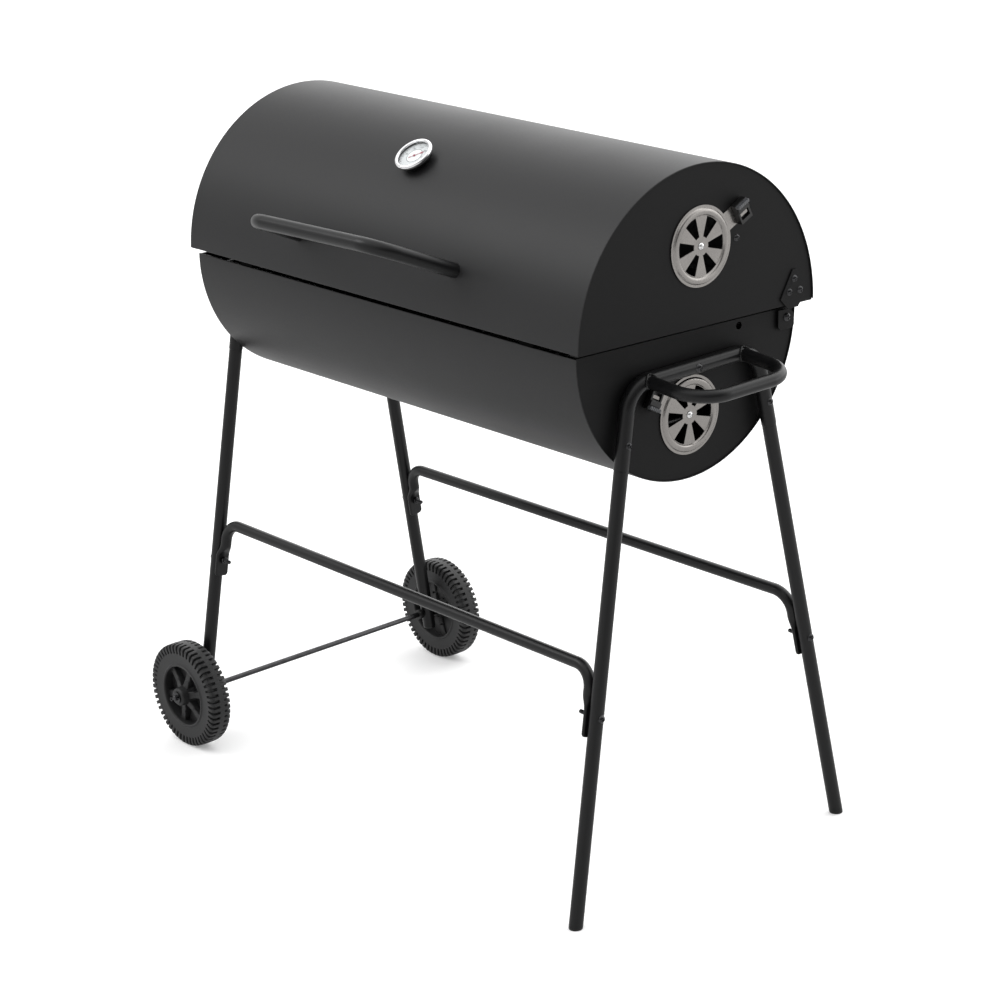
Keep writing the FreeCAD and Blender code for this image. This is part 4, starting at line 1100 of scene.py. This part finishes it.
def stretcher_end(end, y_side):
    """Stations (centre, half width, half thickness) down the flattened end, and its frame."""
    corner = leg_world(end, y_side, STRETCHER_Z)
    tip = leg_world(end, y_side, end["tip_z"])
    run = (corner - tip).normalized()
    inward = Vector((-end["side"], 0, 0))
    round_r, flat_r = STRETCHER_D / 2, FLAT_T / 2
    stations = []
    for k in range(17):
        blend = 0.5 - 0.5 * cos(pi * k / 16)
        half_t = round_r + (flat_r - round_r) * blend
        half_w = half_t + pi / 2 * (round_r - half_t)
        height = STRETCHER_ROUND_Z + (STRETCHER_FLAT_Z - STRETCHER_ROUND_Z) * k / 16
        place = leg_world(end, y_side, height) + inward * (LEG_D / 2 + half_t + 0.1)
        stations.append((place, half_w, half_t))
    at = inward * (LEG_D / 2 + flat_r + 0.1)
    for k in range(8):
        swing = pi / 2 * k / 7
        place = tip + run * (5 * (1 - sin(swing))) + at
        stations.append((place, FLAT_W / 2 - 4 * (1 - cos(swing)), flat_r - 0.04 * k))
    return stations, corner + inward * (LEG_D / 2 + round_r + 0.1), run


def stretcher(y_side):
    right, right_corner, right_run = stretcher_end(RIGHT, y_side)
    left, left_corner, left_run = stretcher_end(LEFT, y_side)
    path = bent([right[0][0], right_corner, left_corner, left[0][0]], STRETCHER_BEND, 4.0)
    across = Vector((1, 0, 0)).cross(right_run).normalized()
    loops = [section(place, across, across.cross(right_run), w, t)
             for place, w, t in right[::-1]]
    for point, (tangent, _, _) in list(zip(path, path_frames(path)))[1:-1]:
        side = (across - tangent * across.dot(tangent)).normalized()
        loops.append(section(point, side, side.cross(tangent), STRETCHER_D / 2, STRETCHER_D / 2))
    loops += [section(place, across, left_run.cross(across), w, t) for place, w, t in left]
    return skin(loops)


def make_stretchers():
    bolts = []
    nuts = []
    head = phillips(5.6, 3.6, 2.8, 26)
    stud = threaded(2.9, 24, 40, 0.9)
    nut = hex_nut(10, 4.8, 2.8)
    for name, y_side in (("front", -1), ("rear", 1)):
        piece("stretcher_bar_" + name, "stretcher_" + name, FRAME_PAINT,
              [stretcher(y_side)])
        for end in (RIGHT, LEFT):
            centre = leg_world(end, y_side, end["bolt_z"])
            out = Vector((end["side"], 0, 0))
            bolts.append((head, aim(centre + out * (LEG_D / 2 - 0.2), out)))
            bolts.append((stud, aim(centre + out * (LEG_D / 2), -out)))
            nuts.append((nut, aim(centre - out * (LEG_D / 2 + FLAT_T + 0.2), -out)))
    piece("stretcher_bolt_set", "stretcher_bolts", BLACK_ZINC, bolts)
    piece("stretcher_nut_set", "stretcher_nuts", BLACK_ZINC, nuts)


# ---- wheels and axle
def tyre():
    """Hard tyre about Z: rows of (radius, height, depth of the grooves) over its section,
    and levels of (place along one lug, share of the lug's height)."""
    rows = [(44.0, -2, 0), (44.2, 12.5, 0), (44.7, 15.6, 0), (45.8, 16.6, 0), (47.4, 16.6, 0),
            (48.4, 15.4, 0), (50.0, 15.2, 0), (57.0, 15.5, 0), (63.0, 15.9, 0),
            (64.6, 16.2, 0.1), (65.4, 16.3, 2.4), (68.0, 16.6, 3.0), (71.0, 16.8, 3.4),
            (73.6, 16.7, 3.8), (75.6, 16.1, 4.2), (77.2, 14.9, 4.2), (78.0, 13.2, 4.0),
            (78.3, 10.5, 3.8), (78.4, 7.5, 3.6), (78.5, 4.6, 3.5), (78.5, 3.8, 0.1),
            (78.5, 3.0, 0)]
    whole = rows + [(r, -y, d) for r, y, d in rows[::-1]]
    levels = ((0.0, 0.0), (0.34, 0.0), (0.40, 0.85), (0.44, 1.0), (0.70, 1.0), (0.94, 1.0),
              (0.97, 0.85))
    count = len(whole)
    walls = []
    for k, (r, y, depth) in enumerate(whole):
        before, after = whole[k - 1], whole[(k + 1) % count]
        across = Vector((before[1] - after[1], after[0] - before[0])).normalized()
        walls.append((r, y, across * -depth))
    loops = []
    for lug in range(LUGS):
        for place, level in levels:
            angle = 2 * pi * (lug + place) / LUGS
            loops.append([spun(r + sink.x * (1 - level), angle, y + sink.y * (1 - level))
                          for r, y, sink in walls])
    return skin(loops, wrap=True)


def spoke():
    """One broad rib of the wheel's web, from the hub out to the rim; local X runs outwards."""
    loops = []
    for k in range(9):
        t = k / 8
        top = 14.5 - 5.0 * t - 1.5 * sin(pi * t)
        half = 5.6 - 0.8 * sin(pi * t)
        outline = soften([(-half - 0.7, 0), (-half, top), (half, top), (half + 0.7, 0),
                          (half, -top * 0.6), (-half, -top * 0.6)], 1.6)
        loops.append([Vector((10.5 + 34.5 * t, y, z)) for y, z in outline])
    return skin(loops)


def make_wheels():
    middle = sum(WHEEL_Y) / 2
    low, high = HUB_Y[0] - middle, HUB_Y[1] - middle
    rim = tyre()
    web = revolved([(12, -3), (45, -3), (45, 1), (12, 1)], rounding=0.2)
    hub = revolved([(AXLE_D / 2 + 0.1, low), (13.5, low), (15.5, -4), (18, 1), (15.4, 8),
                    (14.2, 16), (13.4, high - 2.5), (11.6, high), (6.8, high),
                    (5.8, high - 1.6), (AXLE_D / 2 + 0.1, high - 1.6)], rounding=1.6)
    rib = spoke()
    parts = [(rim, HERE), (web, HERE), (hub, HERE)]
    parts += [(rib, turn(60 * k + 14, "Z")) for k in range(6)]
    axle = leg_world(LEFT, 1, WHEEL_R)
    for name, y_side in (("rear", 1), ("front", -1)):
        centre = Vector((axle.x, y_side * middle, WHEEL_R))
        place = Matrix.Translation(centre) @ turn(-90 * y_side, "X")
        piece("moulded_wheel_" + name, "wheel_" + name, WHEEL_PLASTIC,
              [(mesh, place @ m) for mesh, m in parts], sharp=50)


def split_pin():
    """Split pin along Z: an eye at the top and two legs spread at the bottom."""
    eye = [Vector((2.4 * sin(radians(a)), 0, 11.5 - 2.4 * cos(radians(a))))
           for a in range(25, 336, 20)]
    path = [Vector((3.4, 0, -8.6)), Vector((0.55, 0, -5)), Vector((0.55, 0, 7.5))] + eye
    path += [Vector((-0.55, 0, 7.5)), Vector((-0.55, 0, -5)), Vector((-3.4, 0, -8.6))]
    return tube(path, 0.62, 0.0, 0.1, 10)


def make_axle():
    axle = leg_world(LEFT, 1, WHEEL_R)
    place = shift(axle.x, 0, WHEEL_R) @ turn(-90, "X")
    r = AXLE_D / 2
    rod = revolved([(0, -AXLE_END), (r - 1, -AXLE_END), (r, -AXLE_END + 1), (r, AXLE_END - 1),
                    (r - 1, AXLE_END), (0, AXLE_END)], steps=40, rounding=0.3)
    piece("axle_bar", "axle_rod", BLACK_ZINC, [(rod, place)])
    pin = split_pin()
    pins = []
    for side, swing in ((1, 35), (-1, -115)):
        pins.append((pin, place @ shift(0, 0, side * (HUB_Y[1] + 3.6)) @ turn(swing, "Z")
                     @ turn(90, "X")))
    piece("axle_split_pins", "axle_pins", BLACK_ZINC, pins)


# ---- studio
CAMERA = {"azimuth": 49.09, "elevation": 19.19, "roll": -1.83, "distance": 4.1342,
          "target": (0.01074, 0.0188, 0.42405), "lens": 106.94}


def make_camera():
    camera = placed("camera", bpy.data.cameras.new("camera"))
    camera.matrix_world = (
        shift(*CAMERA["target"]) @ turn(CAMERA["azimuth"], "Z")
        @ turn(90 - CAMERA["elevation"], "X") @ turn(CAMERA["roll"], "Z")
        @ shift(0, 0, CAMERA["distance"]))
    camera.data.sensor_width = 36.0
    camera.data.lens = CAMERA["lens"]
    camera.data.clip_end = 200.0
    bpy.context.scene.camera = camera


def softbox(name, place, target, size, power):
    light = bpy.data.lights.new(name, "AREA")
    light.shape = "RECTANGLE"
    light.size, light.size_y = size
    light.energy = power
    box = placed(name, light)
    box.location = place
    box.rotation_mode = "QUATERNION"
    box.rotation_quaternion = (Vector(place) - Vector(target)).to_track_quat("Z", "Y")


def make_world():
    """White studio: bright behind and overhead, dimmer towards the carry-handle end."""
    world = bpy.data.worlds.new("studio")
    bpy.context.scene.world = world
    world.use_nodes = True
    tree = world.node_tree
    tree.nodes.clear()
    direction = add(tree, "TexCoord").outputs["Generated"]
    split = add(tree, "SeparateXYZ", {"Vector": direction})
    fade, ceiling, behind = (
        ramp(tree, split.outputs[axis], low, high, start, end, "SMOOTHSTEP")
        for axis, start, end, low, high in (("X", 0.15, 0.85, 0.84, 0.17),
                                            ("Z", 0.45, 0.85, 0.0, 0.75),
                                            ("Y", 0.25, 0.65, 0.0, 1.3)))
    strength = total(tree, total(tree, fade, ceiling), behind)
    lighting = add(tree, "Background", {"Color": (1, 1, 1, 1), "Strength": strength})
    seen = add(tree, "Background", {"Color": (1, 1, 1, 1)})
    camera_ray = add(tree, "LightPath").outputs["Is Camera Ray"]
    mix = add(tree, "MixShader", {"Fac": camera_ray, 1: lighting.outputs["Background"],
                                  2: seen.outputs["Background"]})
    add(tree, "OutputWorld", {"Surface": mix.outputs["Shader"]})


def make_floor():
    """A wide pale floor, lifted a little so that it reads as white as the backdrop, and
    duller to all but the camera so that the grill's underside stays dark."""
    bm = bmesh.new()
    bmesh.ops.create_circle(bm, cap_ends=True, segments=96, radius=60.0)
    floor = placed("floor", to_mesh(bm, "floor"))
    floor.location.z = -0.0002
    material, tree = new_material("pale_floor")
    camera_ray = add(tree, "LightPath").outputs["Is Camera Ray"]
    shade = two_shades(tree, (0.5, 0.5, 0.5), (0.86, 0.86, 0.86), camera_ray)
    for name, value in (("Base Color", shade), ("Roughness", 0.9), ("Specular IOR Level", 0.1),
                        ("Emission Color", (1, 1, 1, 1)), ("Emission Strength", 0.2)):
        feed(tree, tree.nodes["Principled BSDF"].inputs[name], value)
    floor.data.materials.append(material)


def make_studio():
    make_camera()
    make_world()
    make_floor()
    softbox("key", (-2.2, -2.4, 3.4), (0, 0, 0.75), (1.8, 1.8), 42)
    softbox("rear_fill", (2.4, 2.6, 1.1), (0.3, 0.1, 0.7), (1.0, 1.6), 9)
    bpy.context.scene.view_settings.view_transform = "Standard"


make_studio()
finish_cad_nodes()
make_barrel()
make_rest_tabs()
make_hinges()
make_vents()
make_lid_handle()
make_thermometer()
make_frames()
make_carry_handle()
make_stretchers()
make_wheels()
make_axle()
